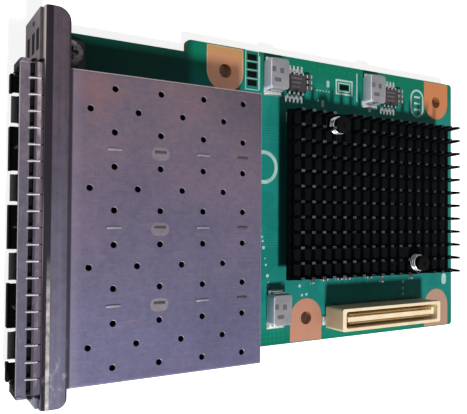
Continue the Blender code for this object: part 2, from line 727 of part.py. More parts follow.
def cage_base():
    """The cage's bottom sheet with side flanges, and a latch tongue in a notch at each port."""
    low, high = SEAT, SEAT + BASE_FLANGE
    top = low + CAGE_SHEET
    outer = CAGE_HALF_WIDTH - CAGE_SHEET - GAP
    inner = outer - CAGE_SHEET
    channel = [(-outer, low), (outer, low), (outer, high), (inner, high)]
    channel += [(inner, top), (-inner, top), (-inner, high), (-outer, high)]
    mesh = bmesh.new()
    add_prism(mesh, channel, CAGE_FRONT, CONNECTOR_FRONT - GAP, axis="X")
    base = new_object("cage_base", mesh, cage_steel())
    through = (low - OVERRUN, top + OVERRUN)
    tip = CAGE_FRONT + TONGUE_INSET
    root = tip + TONGUE_LENGTH
    notches = bmesh.new()
    lips = bmesh.new()
    for port in PORT_CENTRES:
        slot_low, slot_high = around(port, NOTCH_WIDTH)
        tongue_low, tongue_high = around(port, TONGUE_WIDTH)
        notch = [(CAGE_FRONT - OVERRUN, slot_low), (root, slot_low), (root, tongue_low), (tip, tongue_low)]
        notch += [(tip, tongue_high), (root, tongue_high), (root, slot_high), (CAGE_FRONT - OVERRUN, slot_high)]
        add_prism(notches, notch, *through)
        catch = tip + CATCH_START
        far = catch + CATCH_LENGTH
        latch = [(catch, port), (far, port - CATCH_WIDTH / 2), (far, port + CATCH_WIDTH / 2)]
        add_prism(notches, latch, *through)
        lip_low = low - TONGUE_DROP
        lean = tip + LIP_LEAN
        lip = [(tip - LIP_TOE, lip_low), (tip + LIP_TOE, lip_low), (lean + LIP_DEPTH, low + BITE), (lean, low + BITE)]
        add_prism(lips, lip, tongue_low + BITE, tongue_high - BITE, axis="Y")
    for x in divider_pin_places():
        for y in DIVIDER_CENTRES:
            add_box(notches, around(x, TAB_LENGTH + 2 * GAP), around(y, DIVIDER_SHEET + 2 * GAP), through)
    cut(base, notches, "notches")
    join(base, lips, "lips")


def divider_outline():
    """A divider's outline in XZ: pins through the base and the board, tabs through the cover."""
    front, rear = CAGE_FRONT + DIVIDER_INSET, CONNECTOR_REAR
    low = SEAT + CAGE_SHEET + GAP
    high = CAGE_TOP - CAGE_SHEET - GAP
    outline = [(front, low)]
    for x in divider_pin_places():
        start, end = around(x, TAB_LENGTH)
        tip = BOARD_HEIGHT - PIN_LENGTH
        outline += [(start, low), (start, tip), (end, tip), (end, low)]
    outline += [(rear, low), (rear, high)]
    for x in reversed(divider_tab_places()):
        start, end = around(x, TAB_LENGTH)
        tip = CAGE_TOP + TAB_PROUD
        outline += [(end, high), (end, tip), (start, tip), (start, high)]
    return outline + [(front, high)]


def cage_dividers():
    for number, y in enumerate(DIVIDER_CENTRES, start=1):
        mesh = bmesh.new()
        add_prism(mesh, divider_outline(), *around(y, DIVIDER_SHEET), axis="Y")
        new_object(f"cage_divider_{number}", mesh, cage_steel())


# EMI gasket


def finger_stations(start, pitch):
    """Where a finger's two legs begin and end along the gasket, measured from the finger's start."""
    near = start + FINGER_SLIT / 2
    far = start + pitch - FINGER_SLIT / 2
    return [near, near + FINGER_LEG, far - FINGER_LEG, far]


def gasket_stations():
    """The lines that cross the gasket, from the foot of one side over the top to the foot of the other.

    Each is (y, z, out, kind): a point on the inner skin, the direction away from the cage and what the strip up to
    the next line is: a leg, a window between legs, a slit between fingers, or a plain fold.
    """
    half = CAGE_HALF_WIDTH + GAP
    top = CAGE_TOP + GAP
    kinds = ["leg", "window", "leg", "slit"]
    side = []
    for finger in range(SIDE_FINGERS):
        start = CAGE_TOP - (SIDE_FINGERS - finger) * SIDE_FINGER_PITCH
        side += zip(finger_stations(start, SIDE_FINGER_PITCH), kinds)
    side[-1] = (side[-1][0], "fold")
    left = [(half, z, (1, 0), kind) for z, kind in side]
    mirrored = [kind for _, kind in side[:-1]][::-1] + ["end"]
    right = [(-half, z, (-1, 0), kind) for (z, _), kind in zip(reversed(side), mirrored)]
    pitch = 2 * CAGE_HALF_WIDTH / TOP_FINGERS
    over = []
    for finger in range(TOP_FINGERS):
        over += zip(finger_stations(finger * pitch - CAGE_HALF_WIDTH, pitch), kinds)
    over[-1] = (over[-1][0], "fold")
    crown = [(-along, top, (0, 1), kind) for along, kind in over]
    left_corner = [(half, top, (1, 1), "fold")]
    right_corner = [(-half, top, (-1, 1), "fold")]
    return left + left_corner + crown + right_corner + right


def gasket_rows(out):
    """The gasket's section as (x, offset from the inner skin), in emi_gasket's order of rows."""
    front = [(GASKET_SHEET, -GASKET_LIP), (GASKET_SHEET, 0), (GASKET_BAND_END, 0)]
    if out[0] == 0:
        return front + [(TOP_WINDOW_END, FINGER_RISE), (TOP_CREST, GASKET_BULGE), (TOP_TAIL, 0)]
    return front + [(SIDE_WINDOW_END, FINGER_RISE), (SIDE_CREST, GASKET_BULGE), (SIDE_TAIL, 0)]


def emi_gasket():
    """A sheet folded over the cage's mouth: its band runs all the way round, and its fingers end free."""
    lip, band, rung, rise, crest, tail = range(6)
    stations = gasket_stations()
    kinds = [kind for _, _, _, kind in stations]
    mesh = bmesh.new()
    points = {}

    def add_face(*places):
        """Adds the face whose corners are (station, row) places."""
        for place in places:
            if place not in points:
                y, z, out, _ = stations[place[0]]
                x, offset = gasket_rows(out)[place[1]]
                points[place] = mesh.verts.new((x, y + offset * out[0], z + offset * out[1]))
        mesh.faces.new([points[place] for place in places])

    for near, kind in enumerate(kinds[:-1]):
        far = near + 1
        add_face((near, band), (near, rung), (far, rung), (far, band))
        if kind in ("leg", "slit"):
            add_face((near, rung), (near, rise), (far, rise), (far, rung))
        if kind == "slit":
            add_face((near, lip), (near, band), (far, band), (far, lip))
        if kind == "window":
            start, end = near - 1, far + 1
            across = range(end, start - 1, -1)
            add_face((start, lip), *[(station, band) for station in reversed(across)], (end, lip))
            add_face(*[(station, rise) for station in across], (start, crest), (end, crest))
            add_face((start, crest), (start, tail), (end, tail), (end, crest))
    gasket = new_object("emi_gasket", mesh, spring_bronze())
    sheet = gasket.modifiers.new("sheet", "SOLIDIFY")
    sheet.thickness = GASKET_SHEET
    sheet.offset = 1
    sheet.use_even_offset = True


def lower_gasket(name, middle, fingers):
    """A strip under the cage's mouth between two latch notches, with short fingers bulging down."""
    z = SEAT - GAP
    pitch = LOWER_FINGER_PITCH
    start = middle - fingers * pitch / 2
    rows = [(CAGE_FRONT, 0), (GASKET_BAND_END, 0), (SIDE_CREST, GASKET_BULGE), (SIDE_TAIL, LOWER_FINGER_TAIL)]
    lines = []
    for finger in range(fingers):
        near = start + finger * pitch
        lines += [near + FINGER_SLIT / 2, near + pitch - FINGER_SLIT / 2]
    mesh = bmesh.new()
    grid = [[mesh.verts.new((x, y, z - drop)) for x, drop in rows] for y in lines]
    for line, (near, far) in enumerate(zip(grid, grid[1:])):
        is_slit = line % 2 == 1
        for row in range(1 if is_slit else len(rows) - 1):
            mesh.faces.new([near[row], far[row], far[row + 1], near[row + 1]])
    strip = new_object(name, mesh, spring_bronze())
    for face in strip.data.polygons:
        if face.normal.z > 0:
            face.flip()
    sheet = strip.modifiers.new("sheet", "SOLIDIFY")
    sheet.thickness = GASKET_SHEET
    sheet.offset = 1
    sheet.use_even_offset = True


def lower_gaskets():
    """One strip on each land between notches, and one outside the first and the last notch."""
    edge = (CAGE_HALF_WIDTH - PORT_TO_WALL + NOTCH_WIDTH / 2 + CAGE_HALF_WIDTH) / 2
    places = [(-edge, 1)] + [(middle, 3) for middle in DIVIDER_CENTRES] + [(edge, 1)]
    for number, (middle, fingers) in enumerate(places, start=1):
        lower_gasket(f"lower_gasket_{number}", middle, fingers)


# Module connectors


def port_connectors():
    """The sockets that the modules plug into, with two rows of contacts in their slot."""
    front, rear = CONNECTOR_FRONT, CONNECTOR_REAR
    top = CONNECTOR_HEIGHT
    bevel = CONNECTOR_BEVEL
    middle = CONNECTOR_SLOT_MIDDLE
    body = [(front, 0), (rear, 0), (rear, top), (front + 2 * bevel, top), (front, top - bevel)]
    mesh = bmesh.new()
    add_prism(mesh, body, *around(0, CONNECTOR_WIDTH), axis="Y")
    socket = new_object("port_connector", mesh, black_plastic())
    slot = bmesh.new()
    slot_end = front + CONNECTOR_SLOT_DEPTH
    slot_z = around(middle, CONNECTOR_SLOT_HEIGHT)
    add_box(slot, (front - OVERRUN, slot_end), around(0, CONNECTOR_SLOT_WIDTH), slot_z)
    cut(socket, slot, "slot")
    contacts = bmesh.new()
    for contact in range(CONTACT_COUNT):
        y = around((contact - (CONTACT_COUNT - 1) / 2) * CONTACT_PITCH, CONTACT_WIDTH)
        reach = (front + bevel, slot_end + BITE)
        add_box(contacts, reach, y, (slot_z[0] - BITE, slot_z[0] + CONTACT_RISE))
        add_box(contacts, reach, y, (slot_z[1] - CONTACT_RISE, slot_z[1] + BITE))
    for side in (-1, 1):
        add_cylinder(contacts, PEG_X, side * PEG_SPREAD, PEG_RADIUS, -PEG_LENGTH, BITE, SMALL_SIDES)
    join(socket, contacts, "contacts")
    seated_copies("port_connector", socket, [(0, port, 0) for port in PORT_CENTRES])


# Face plate


def plate_section():
    """The plate's section in XZ: front wall, ledge, riser, bend and flange, outside first and back inside."""
    bend_x = PLATE_FRONT + PLATE_LEDGE + PLATE_BEND
    bend_z = PLATE_TOP - PLATE_BEND
    ledge = bend_z - PLATE_RISER
    rear = PLATE_FRONT + PLATE_LEDGE + FLANGE_DEPTH
    outside = [(PLATE_FRONT, 0), (PLATE_FRONT, ledge), (PLATE_FRONT + PLATE_LEDGE, ledge)]
    outside += arc(bend_x, bend_z, PLATE_BEND, 180, 90, BEND_STEPS)
    inner_bend = PLATE_BEND - PLATE_SHEET
    inside = [(rear, PLATE_TOP), (rear, PLATE_TOP - PLATE_SHEET)]
    inside += arc(bend_x, bend_z, inner_bend, 90, 180, BEND_STEPS)
    inside += [(PLATE_BACK + PLATE_LEDGE, ledge - PLATE_SHEET), (PLATE_BACK, ledge - PLATE_SHEET), (PLATE_BACK, 0)]
    return outside + inside


def flange_corner(mesh, y, radius, toward):
    """A cutter that rounds the flange's rear corner at y. Toward is 1 at the +Y end and -1 at the other."""
    rear = PLATE_FRONT + PLATE_LEDGE + FLANGE_DEPTH
    x = rear - radius
    inner_y = y - toward * radius
    curve = arc(x, inner_y, radius, 0, 90 * toward, FLANGE_CORNER_STEPS)
    outline = curve + [(x, y + toward * OVERRUN), (rear + OVERRUN, y + toward * OVERRUN), (rear + OVERRUN, inner_y)]
    add_prism(mesh, outline, PLATE_TOP - PLATE_SHEET - OVERRUN, PLATE_TOP + OVERRUN)


def face_plate():
    mesh = bmesh.new()
    add_prism(mesh, plate_section(), PLATE_RIGHT, PLATE_LEFT, axis="Y")
    plate = new_object("face_plate", mesh, plate_steel())
    openings = bmesh.new()
    wall = (PLATE_FRONT - OVERRUN, PLATE_BACK + PLATE_LEDGE + BITE)
    window = rectangle((-WINDOW_HALF_WIDTH, WINDOW_HALF_WIDTH), (WINDOW_LOW, PLATE_TOP - PLATE_SHEET))
    add_prism(openings, window, wall[0], PLATE_FRONT + PLATE_LEDGE + FLANGE_DEPTH + OVERRUN, axis="X")
    for z in PLATE_SLOTS:
        slot = rectangle(around(PLATE_SLOT_Y, PLATE_SLOT_WIDTH), around(z, PLATE_SLOT_HEIGHT))
        add_prism(openings, slot, *wall, axis="X")
    flange_corner(openings, PLATE_LEFT, FLANGE_LEFT_CORNER, 1)
    flange_corner(openings, PLATE_RIGHT, FLANGE_RIGHT_CORNER, -1)
    cut(plate, openings, "openings")
    foot = bmesh.new()
    foot_x = (PLATE_BACK - BITE, PLATE_FRONT + FOOT_LENGTH)
    foot_y = around(SCREW_Y, FOOT_WIDTH)
    outline = [(foot_x[0], foot_y[0])]
    outline += arc(foot_x[1] - FOOT_CORNER, foot_y[0] + FOOT_CORNER, FOOT_CORNER, -90, 0, FOOT_CORNER_STEPS)
    outline += arc(foot_x[1] - FOOT_CORNER, foot_y[1] - FOOT_CORNER, FOOT_CORNER, 0, 90, FOOT_CORNER_STEPS)
    outline += [(foot_x[0], foot_y[1])]
    add_prism(foot, outline, SEAT, SEAT + PLATE_SHEET)
    turn = Matrix.Rotation(math.radians(90), 4, "Y")
    place = Matrix.Translation((PLATE_FRONT + (BITE - RIVET_PROUD) / 2, RIVET_Y, RIVET_HEIGHT))
    bmesh.ops.create_cone(
        foot,
        cap_ends=True,
        segments=SMALL_SIDES,
        radius1=RIVET_FACE_RADIUS,
        radius2=RIVET_RADIUS,
        depth=RIVET_PROUD + BITE,
        matrix=place @ turn,
    )
    join(plate, foot, "foot")
    hole = bmesh.new()
    add_cylinder(hole, SCREW_X, SCREW_Y, SHANK_RADIUS + GAP, SEAT - OVERRUN, SEAT + PLATE_SHEET + OVERRUN)
    cut(plate, hole, "screw_hole")


def bracket_screw():
    """The pan-head screw through the face plate's foot and the board."""
    seat = SEAT + PLATE_SHEET + GAP
    top = seat + SCREW_HEAD_HEIGHT
    profile = [(0, SCREW_TIP), (SHANK_RADIUS, SCREW_TIP), (SHANK_RADIUS, seat)]
    profile += [(SCREW_HEAD_RADIUS, seat), (SCREW_HEAD_RADIUS, seat + SCREW_HEAD_RIM)]
    profile += [(SCREW_HEAD_FLAT, top), (0, top)]
    mesh = bmesh.new()
    add_turned(mesh, profile, ROUND_SIDES)
    screw = new_object("bracket_screw", mesh, screw_steel())
    screw.location = (SCREW_X, SCREW_Y, 0)
    recess = bmesh.new()
    arms = around(0, RECESS_LENGTH), around(0, RECESS_WIDTH)
    short, long = arms[1][1], arms[0][1]
    cross = [(-long, -short), (-short, -short), (-short, -long), (short, -long), (short, -short), (long, -short)]
    cross += [(-x, -y) for x, y in cross]
    add_prism(recess, cross, top - RECESS_DEPTH, top + OVERRUN)
    cut(screw, recess, "recess")
    bpy.data.objects["bracket_screw_recess"].location = screw.location


# Heat sink and what is under it


def fin_places():
    """The fins' middles, without those too near a push pin."""
    places = []
    for column in range(SINK_COLUMNS):
        for row in range(SINK_ROWS):
            x = SINK_X + (column - (SINK_COLUMNS - 1) / 2) * SINK_PITCH_X
            y = SINK_Y + (row - (SINK_ROWS - 1) / 2) * SINK_PITCH_Y
            if all(math.hypot(x - pin_x, y - pin_y) > FIN_CLEARANCE for pin_x, pin_y in PUSH_PINS):
                places.append((x, y))
    return places


def add_fin(mesh, x, y):
    """Adds one tapered fin, sunk a little into the heat sink's base."""
    root = rectangle(around(x, FIN_ROOT_X), around(y, FIN_ROOT_Y))
    tip = rectangle(around(x, FIN_TIP_X), around(y, FIN_TIP_Y))
    low = [mesh.verts.new((u, v, SINK_TOP - BITE)) for u, v in root]
    high = [mesh.verts.new((u, v, FIN_TOP)) for u, v in tip]
    mesh.faces.new(reversed(low))
    mesh.faces.new(high)
    for corner in range(4):
        after = (corner + 1) % 4
        mesh.faces.new([low[corner], low[after], high[after], high[corner]])


def heat_sink():
    """The finned plate over the controller chip, with a hole for each push pin."""
    mesh = bmesh.new()
    add_box(mesh, around(SINK_X, SINK_LENGTH), around(SINK_Y, SINK_WIDTH), (SINK_LOW, SINK_TOP))
    sink = new_object("heat_sink", mesh, black_anodising())
    fins = bmesh.new()
    for x, y in fin_places():
        add_fin(fins, x, y)
    join(sink, fins, "fins")
    holes = bmesh.new()
    for x, y in PUSH_PINS:
        add_cylinder(holes, x, y, PUSH_HOLE_RADIUS, SINK_LOW - OVERRUN, SINK_TOP + OVERRUN)
    cut(sink, holes, "push_pin_holes")


def controller_chip():
    """The chip's package with the raised lid that the heat sink cools."""
    mesh = bmesh.new()
    add_box(mesh, around(SINK_X, CHIP_WIDTH), around(SINK_Y, CHIP_WIDTH), (SEAT, SEAT + CHIP_HEIGHT))
    chip = new_object("controller_chip", mesh, package_epoxy())
    lid = bmesh.new()
    top = SEAT + CHIP_HEIGHT
    lid_z = (top - BITE, top + CHIP_LID_HEIGHT)
    add_box(lid, around(SINK_X, CHIP_LID), around(SINK_Y, CHIP_LID), lid_z)
    join(chip, lid, "lid")


def thermal_pad():
    low = SEAT + CHIP_HEIGHT + CHIP_LID_HEIGHT + GAP
    mesh = bmesh.new()
    add_box(mesh, around(SINK_X, PAD_WIDTH), around(SINK_Y, PAD_WIDTH), (low, low + PAD_THICKNESS))
    new_object("thermal_pad", mesh, pad_silicone())


def push_pins():
    """The pins that hold the heat sink: a head on the spring, a shank, and a split barb under the board."""
    barb_top = BOARD_HEIGHT - GAP
    head_low = PUSH_HEAD_TOP - PUSH_HEAD_HEIGHT
    profile = [(0, 0), (BARB_TIP_RADIUS, 0), (BARB_RADIUS, barb_top - BITE), (BARB_RADIUS, barb_top)]
    profile += [(PUSH_SHANK_RADIUS, barb_top), (PUSH_SHANK_RADIUS, head_low), (PUSH_HEAD_RADIUS, head_low)]
    profile += [(PUSH_HEAD_RADIUS, PUSH_HEAD_TOP - PUSH_HEAD_BEVEL)]
    profile += [(PUSH_HEAD_RADIUS - PUSH_HEAD_BEVEL, PUSH_HEAD_TOP), (0, PUSH_HEAD_TOP)]
    for number, (x, y) in enumerate(PUSH_PINS, start=1):
        mesh = bmesh.new()
        add_turned(mesh, profile, ROUND_SIDES)
        pin = new_object(f"push_pin_{number}", mesh, black_plastic())
        pin.location = (x, y, 0)
        shade_round(pin)
        split = bmesh.new()
        add_box(split, around(0, 2 * BARB_RADIUS + OVERRUN), around(0, BARB_SPLIT), (-OVERRUN, BOARD_TOP))
        cut(pin, split, "split")
        bpy.data.objects[f"push_pin_{number}_split"].location = pin.location


def spring_coil():
    """A curve that climbs in a helix from the heat sink's base to the push pin's head."""
    low = SINK_TOP + GAP + SPRING_WIRE
    high = PUSH_HEAD_TOP - PUSH_HEAD_HEIGHT - GAP - SPRING_WIRE
    curve = bpy.data.curves.new("push_pin_spring", "CURVE")
    curve.dimensions = "3D"
    curve.bevel_depth = SPRING_WIRE
    curve.bevel_resolution = 1
    curve.use_fill_caps = True
    line = curve.splines.new("POLY")
    steps = SPRING_TURNS * SPRING_POINTS
    line.points.add(steps)
    for step, point in enumerate(line.points):
        turn = 2 * math.pi * step / SPRING_POINTS
        height = low + (high - low) * step / steps
        point.co = (SPRING_RADIUS * math.cos(turn), SPRING_RADIUS * math.sin(turn), height, 1)
    curve.materials.append(spring_steel())
    return curve


def push_pin_springs():
    coil = spring_coil()
    for number, (x, y) in enumerate(PUSH_PINS, start=1):
        link(f"push_pin_spring_{number}", coil).location = (x, y, 0)


# Components on the board


def inductors():
    """Ferrite blocks with a terminal clip at each end."""
    mesh = bmesh.new()
    edge = INDUCTOR_EDGE
    add_prism(mesh, rounded_rectangle(around(0, INDUCTOR_X), around(0, INDUCTOR_Y), edge, 1), 0, INDUCTOR_HEIGHT)
    rim = [side for side in mesh.edges if all(vert.co.z > INDUCTOR_HEIGHT / 2 for vert in side.verts)]
    bmesh.ops.bevel(mesh, geom=rim, offset=edge / 2, segments=1, affect="EDGES")
    body = new_object("inductor", mesh, ferrite())
    clips = bmesh.new()
    for side in (-1, 1):
        y = sorted((side * (INDUCTOR_Y / 2 - BITE), side * (INDUCTOR_Y / 2 + CLIP_PROUD)))
        add_box(clips, around(0, CLIP_WIDTH), y, (BITE, CLIP_HEIGHT))
    join(body, clips, "clips")
    seated_copies("inductor", body, [(x, y, 0) for x, y in INDUCTORS])


def chip_part(name, material, length, width, height, end, step):
    """A small two-ended component whose end caps stand out a little from its body."""
    mesh = bmesh.new()
    add_box(mesh, around(0, length - end), around(0, width - 2 * step), (step, height - step))
    body = new_object(name, mesh, material)
    caps = bmesh.new()
    for side in (-1, 1):
        add_box(caps, around(side * (length - end) / 2, end), around(0, width), (0, height))
    join(body, caps, "caps")
    return body


def capacitors():
    """Stacks of ceramic capacitors beside the first two inductors."""
    sizes = (CAPACITOR_LENGTH, CAPACITOR_WIDTH, CAPACITOR_HEIGHT, CAPACITOR_END, CAPACITOR_STEP)
    body = chip_part("capacitor", ceramic(), *sizes)
    places = []
    for x, y in CAPACITOR_STACKS:
        places += [(x, y + place * CAPACITOR_PITCH, 0) for place in range(CAPACITORS_PER_STACK)]
    seated_copies("capacitor", body, places)


def chip_resistors():
    """The row of chip resistors along the heat sink's -Y edge."""
    sizes = (RESISTOR_LENGTH, RESISTOR_WIDTH, RESISTOR_HEIGHT, RESISTOR_END, RESISTOR_STEP)
    body = chip_part("chip_resistor", resistor_ceramic(), *sizes)
    edge = SINK_Y - SINK_WIDTH / 2
    seated_copies("chip_resistor", body, [(SINK_X + along, edge - out, turn) for along, out, turn in RESISTORS])


def lead_section(side):
    """A gull-wing lead in YZ, from inside the package down to its foot."""
    root = IC_Y / 2 - BITE
    knee = IC_Y / 2 + (LEAD_REACH - LEAD_FOOT) / 2
    toe = IC_Y / 2 + LEAD_REACH
    high = IC_BODY_RISE + IC_BODY / 2
    sheet = LEAD_SHEET
    section = [(root, high), (root, high - sheet), (knee - sheet, high - sheet), (knee, 0), (toe, 0)]
    section += [(toe, sheet), (knee + sheet, sheet), (knee, high)]
    return [(side * y, z) for y, z in section]


def power_ics():
    """Eight-lead packages whose leads come out on their two long sides."""
    mesh = bmesh.new()
    top = IC_BODY_RISE + IC_BODY
    add_box(mesh, around(0, IC_X), around(0, IC_Y), (IC_BODY_RISE, top))
    rim = [side for side in mesh.edges if all(vert.co.z > top - BITE for vert in side.verts)]
    bmesh.ops.bevel(mesh, geom=rim, offset=IC_BEVEL, segments=1, affect="EDGES")
    body = new_object("power_ic", mesh, package_epoxy())
    leads = bmesh.new()
    for lead in range(LEAD_COUNT):
        x = (lead - (LEAD_COUNT - 1) / 2) * LEAD_PITCH
        for side in (-1, 1):
            add_prism(leads, lead_section(side), *around(x, LEAD_WIDTH), axis="X")
    join(body, leads, "leads")
    seated_copies("power_ic", body, [(x, y, 0) for x, y in POWER_ICS])


# Mezzanine connector


def mezzanine_housing():
    """The moulded housing: a trough with a centre tongue, a key at the tongue's end and two locating pegs."""
    low, top = SEAT, SEAT + MEZZ_HEIGHT
    floor = top - MEZZ_TROUGH
    mesh = bmesh.new()
    outline = rounded_rectangle(around(MEZZ_X, MEZZ_LENGTH), around(MEZZ_Y, MEZZ_WIDTH), MEZZ_CORNER)
    add_prism(mesh, outline, low, top)
    housing = new_object("mezzanine_housing", mesh, cream_plastic())
    trough_x = around(MEZZ_X, MEZZ_LENGTH - 2 * MEZZ_END_RIM)
    trough_y = around(MEZZ_Y, MEZZ_WIDTH - 2 * MEZZ_RIM)
    trough = bmesh.new()
    add_prism(trough, rounded_rectangle(trough_x, trough_y, MEZZ_CORNER), floor, top + OVERRUN)
    cut(housing, trough, "trough")
    parts = bmesh.new()
    key_start = trough_x[1] - MEZZ_KEY[0]
    tongue_x = (trough_x[0] + TONGUE_END_GAP, key_start - MEZZ_KEY_GAP)
    add_box(parts, tongue_x, around(MEZZ_Y, TONGUE_THICKNESS), (floor - BITE, top - TONGUE_LOW))
    key_x = (key_start, trough_x[1] + BITE)
    add_box(parts, key_x, around(MEZZ_Y, MEZZ_KEY[1]), (floor - BITE, top - MEZZ_KEY_LOW))
    for side in (-1, 1):
        x = MEZZ_X + side * MEZZ_PEG_SPREAD
        add_cylinder(parts, x, MEZZ_Y, MEZZ_PEG_RADIUS, low - PEG_LENGTH, low + BITE, SMALL_SIDES)
    join(housing, parts, "tongue_key_and_pegs")


def mezzanine_contacts():
    """A row of contacts on each side of the tongue, held by a bar at its foot."""
    top = SEAT + MEZZ_HEIGHT
    low = top - MEZZ_TROUGH + GAP
    bar = low + MEZZ_CONTACT_BAR
    tip = top - TONGUE_LOW - MEZZ_CONTACT_LOW
    outline = []
    for contact in range(MEZZ_CONTACTS):
        middle = MEZZ_X + (contact - (MEZZ_CONTACTS - 1) / 2) * MEZZ_CONTACT_PITCH
        start, end = around(middle, MEZZ_CONTACT_WIDTH)
        outline += [(start, bar), (start, tip), (end, tip), (end, bar)]
    first, last = outline[0][0] - BITE, outline[-1][0] + BITE
    outline = [(first, low), (first, bar)] + outline + [(last, bar), (last, low)]
    near = TONGUE_THICKNESS / 2 + GAP
    for number, side in enumerate((1, -1), start=1):
        row = sorted((MEZZ_Y + side * near, MEZZ_Y + side * (near + MEZZ_CONTACT_SHEET)))
        mesh = bmesh.new()
        add_prism(mesh, outline, *row, axis="Y")
        new_object(f"mezzanine_contacts_{number}", mesh, contact_gold())


def build_card():
    remove_old_objects()
    card_origin()
    circuit_board()
    cage_cover()
    cage_base()
    cage_dividers()
    emi_gasket()
    lower_gaskets()
    port_connectors()
    face_plate()
    bracket_screw()
    heat_sink()
    controller_chip()
    thermal_pad()
    push_pins()
    push_pin_springs()
    inductors()
    capacitors()
    chip_resistors()
    power_ics()
    mezzanine_housing()
    mezzanine_contacts()


build_card()
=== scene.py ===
"""The looks of a four-port mezzanine network card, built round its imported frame.

The card lies component side up. X runs from its module ports to its rear edge and Y across the ports. Every piece keeps
its object at the origin, with its place in its mesh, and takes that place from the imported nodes' boxes. Sizes are in
metres, written in millimetres through MM or mm(). Places on the board are measured on the card: X from the mouth of the
cage and Y from the cage's centre line.
"""

import logging
import math
from collections.abc import Iterable, Iterator, Sequence
from dataclasses import dataclass
from enum import Enum
from functools import cached_property

import bmesh
import bpy
from mathutils import Matrix, Vector


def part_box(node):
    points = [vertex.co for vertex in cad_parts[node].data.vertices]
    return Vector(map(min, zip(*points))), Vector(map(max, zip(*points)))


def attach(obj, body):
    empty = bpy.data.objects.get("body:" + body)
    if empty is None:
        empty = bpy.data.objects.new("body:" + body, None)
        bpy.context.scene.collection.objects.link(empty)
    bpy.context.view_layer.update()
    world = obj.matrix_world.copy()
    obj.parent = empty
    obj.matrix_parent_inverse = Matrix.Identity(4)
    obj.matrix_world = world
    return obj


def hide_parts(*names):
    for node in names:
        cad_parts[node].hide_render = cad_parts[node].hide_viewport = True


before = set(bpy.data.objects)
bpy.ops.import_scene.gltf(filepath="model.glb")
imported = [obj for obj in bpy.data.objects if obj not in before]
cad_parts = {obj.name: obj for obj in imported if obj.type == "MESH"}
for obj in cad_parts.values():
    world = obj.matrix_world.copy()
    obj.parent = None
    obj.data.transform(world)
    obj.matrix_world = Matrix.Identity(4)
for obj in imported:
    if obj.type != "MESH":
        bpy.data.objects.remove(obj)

MM = 0.001
BODY = "root"
BOTH = (-1, 1)

Triple = tuple[float, float, float]
Colour = Triple
Point = tuple[float, float]
Socket = bpy.types.NodeSocket
Verts = Iterable[bmesh.types.BMVert]

log = logging.getLogger("card")


def mm(*sizes: float) -> tuple[float, ...]:
    """Millimetres as metres."""
    return tuple(size * MM for size in sizes)


def tone(colour: Colour, share: float, lift: float = 0.0) -> Colour:
    """The colour made darker or paler, up to white."""
    return tuple(min(1.0, share * part + lift) for part in colour)


def edges_of(verts: Verts, upright: bool = False) -> set[bmesh.types.BMEdge]:
    """The edges at these points, or only their upright ones."""
    edges = {edge for vert in verts for edge in vert.link_edges}
    return {edge for edge in edges if not upright or edge.verts[0].co.xy == edge.verts[1].co.xy}


def link(name: str, data: bpy.types.ID) -> bpy.types.Object:
    """Puts an object into the scene.

    Args:
        name: The object's name.
        data: The mesh, camera or lamp that it holds.

    Returns:
        The object.
    """
    made = bpy.data.objects.new(name, data)
    bpy.context.scene.collection.objects.link(made)
    return made


class Side(Enum):
    """The two faces of the circuit board."""

    TOP = 1
    UNDER = -1


class Value:
    """A value in a node tree, which takes part in plain sums with other values and numbers."""

    def __init__(self, graph: "Graph", socket: Socket) -> None:
        """Keeps the graph and the output socket."""
        self.graph, self.socket = graph, socket

    def __add__(self, other: object) -> "Value":
        """The sum."""
        return self.graph.maths("ADD", self, other)

    def __sub__(self, other: object) -> "Value":
        """The difference."""
        return self.graph.maths("SUBTRACT", self, other)

    def __rsub__(self, other: object) -> "Value":
        """What is left of a number."""
        return self.graph.maths("SUBTRACT", other, self)

    def __mul__(self, other: object) -> "Value":
        """The product."""
        return self.graph.maths("MULTIPLY", self, other)

    def __abs__(self) -> "Value":
        """The value without its sign."""
        return self.graph.maths("ABSOLUTE", self)

    def __or__(self, other: object) -> "Value":
        """The larger one: what either share covers."""
        return self.graph.maths("MAXIMUM", self, other)

    def __and__(self, other: object) -> "Value":
        """The smaller one: what both shares cover."""
        return self.graph.maths("MINIMUM", self, other)

    def window(self, low: float, high: float) -> "Value":
        """The value's place between low and high, from 0 to 1."""
        limits = {"Value": self, "From Min": low, "From Max": high}
        return self.graph.node("ShaderNodeMapRange", "Result", limits, clamp=True)

    def band(self, low: float, high: float, soft: float) -> "Value":
        """1 from low to high, falling to 0 over a soft edge outside."""
        return self.window(low - soft, low) & self.window(high + soft, high)


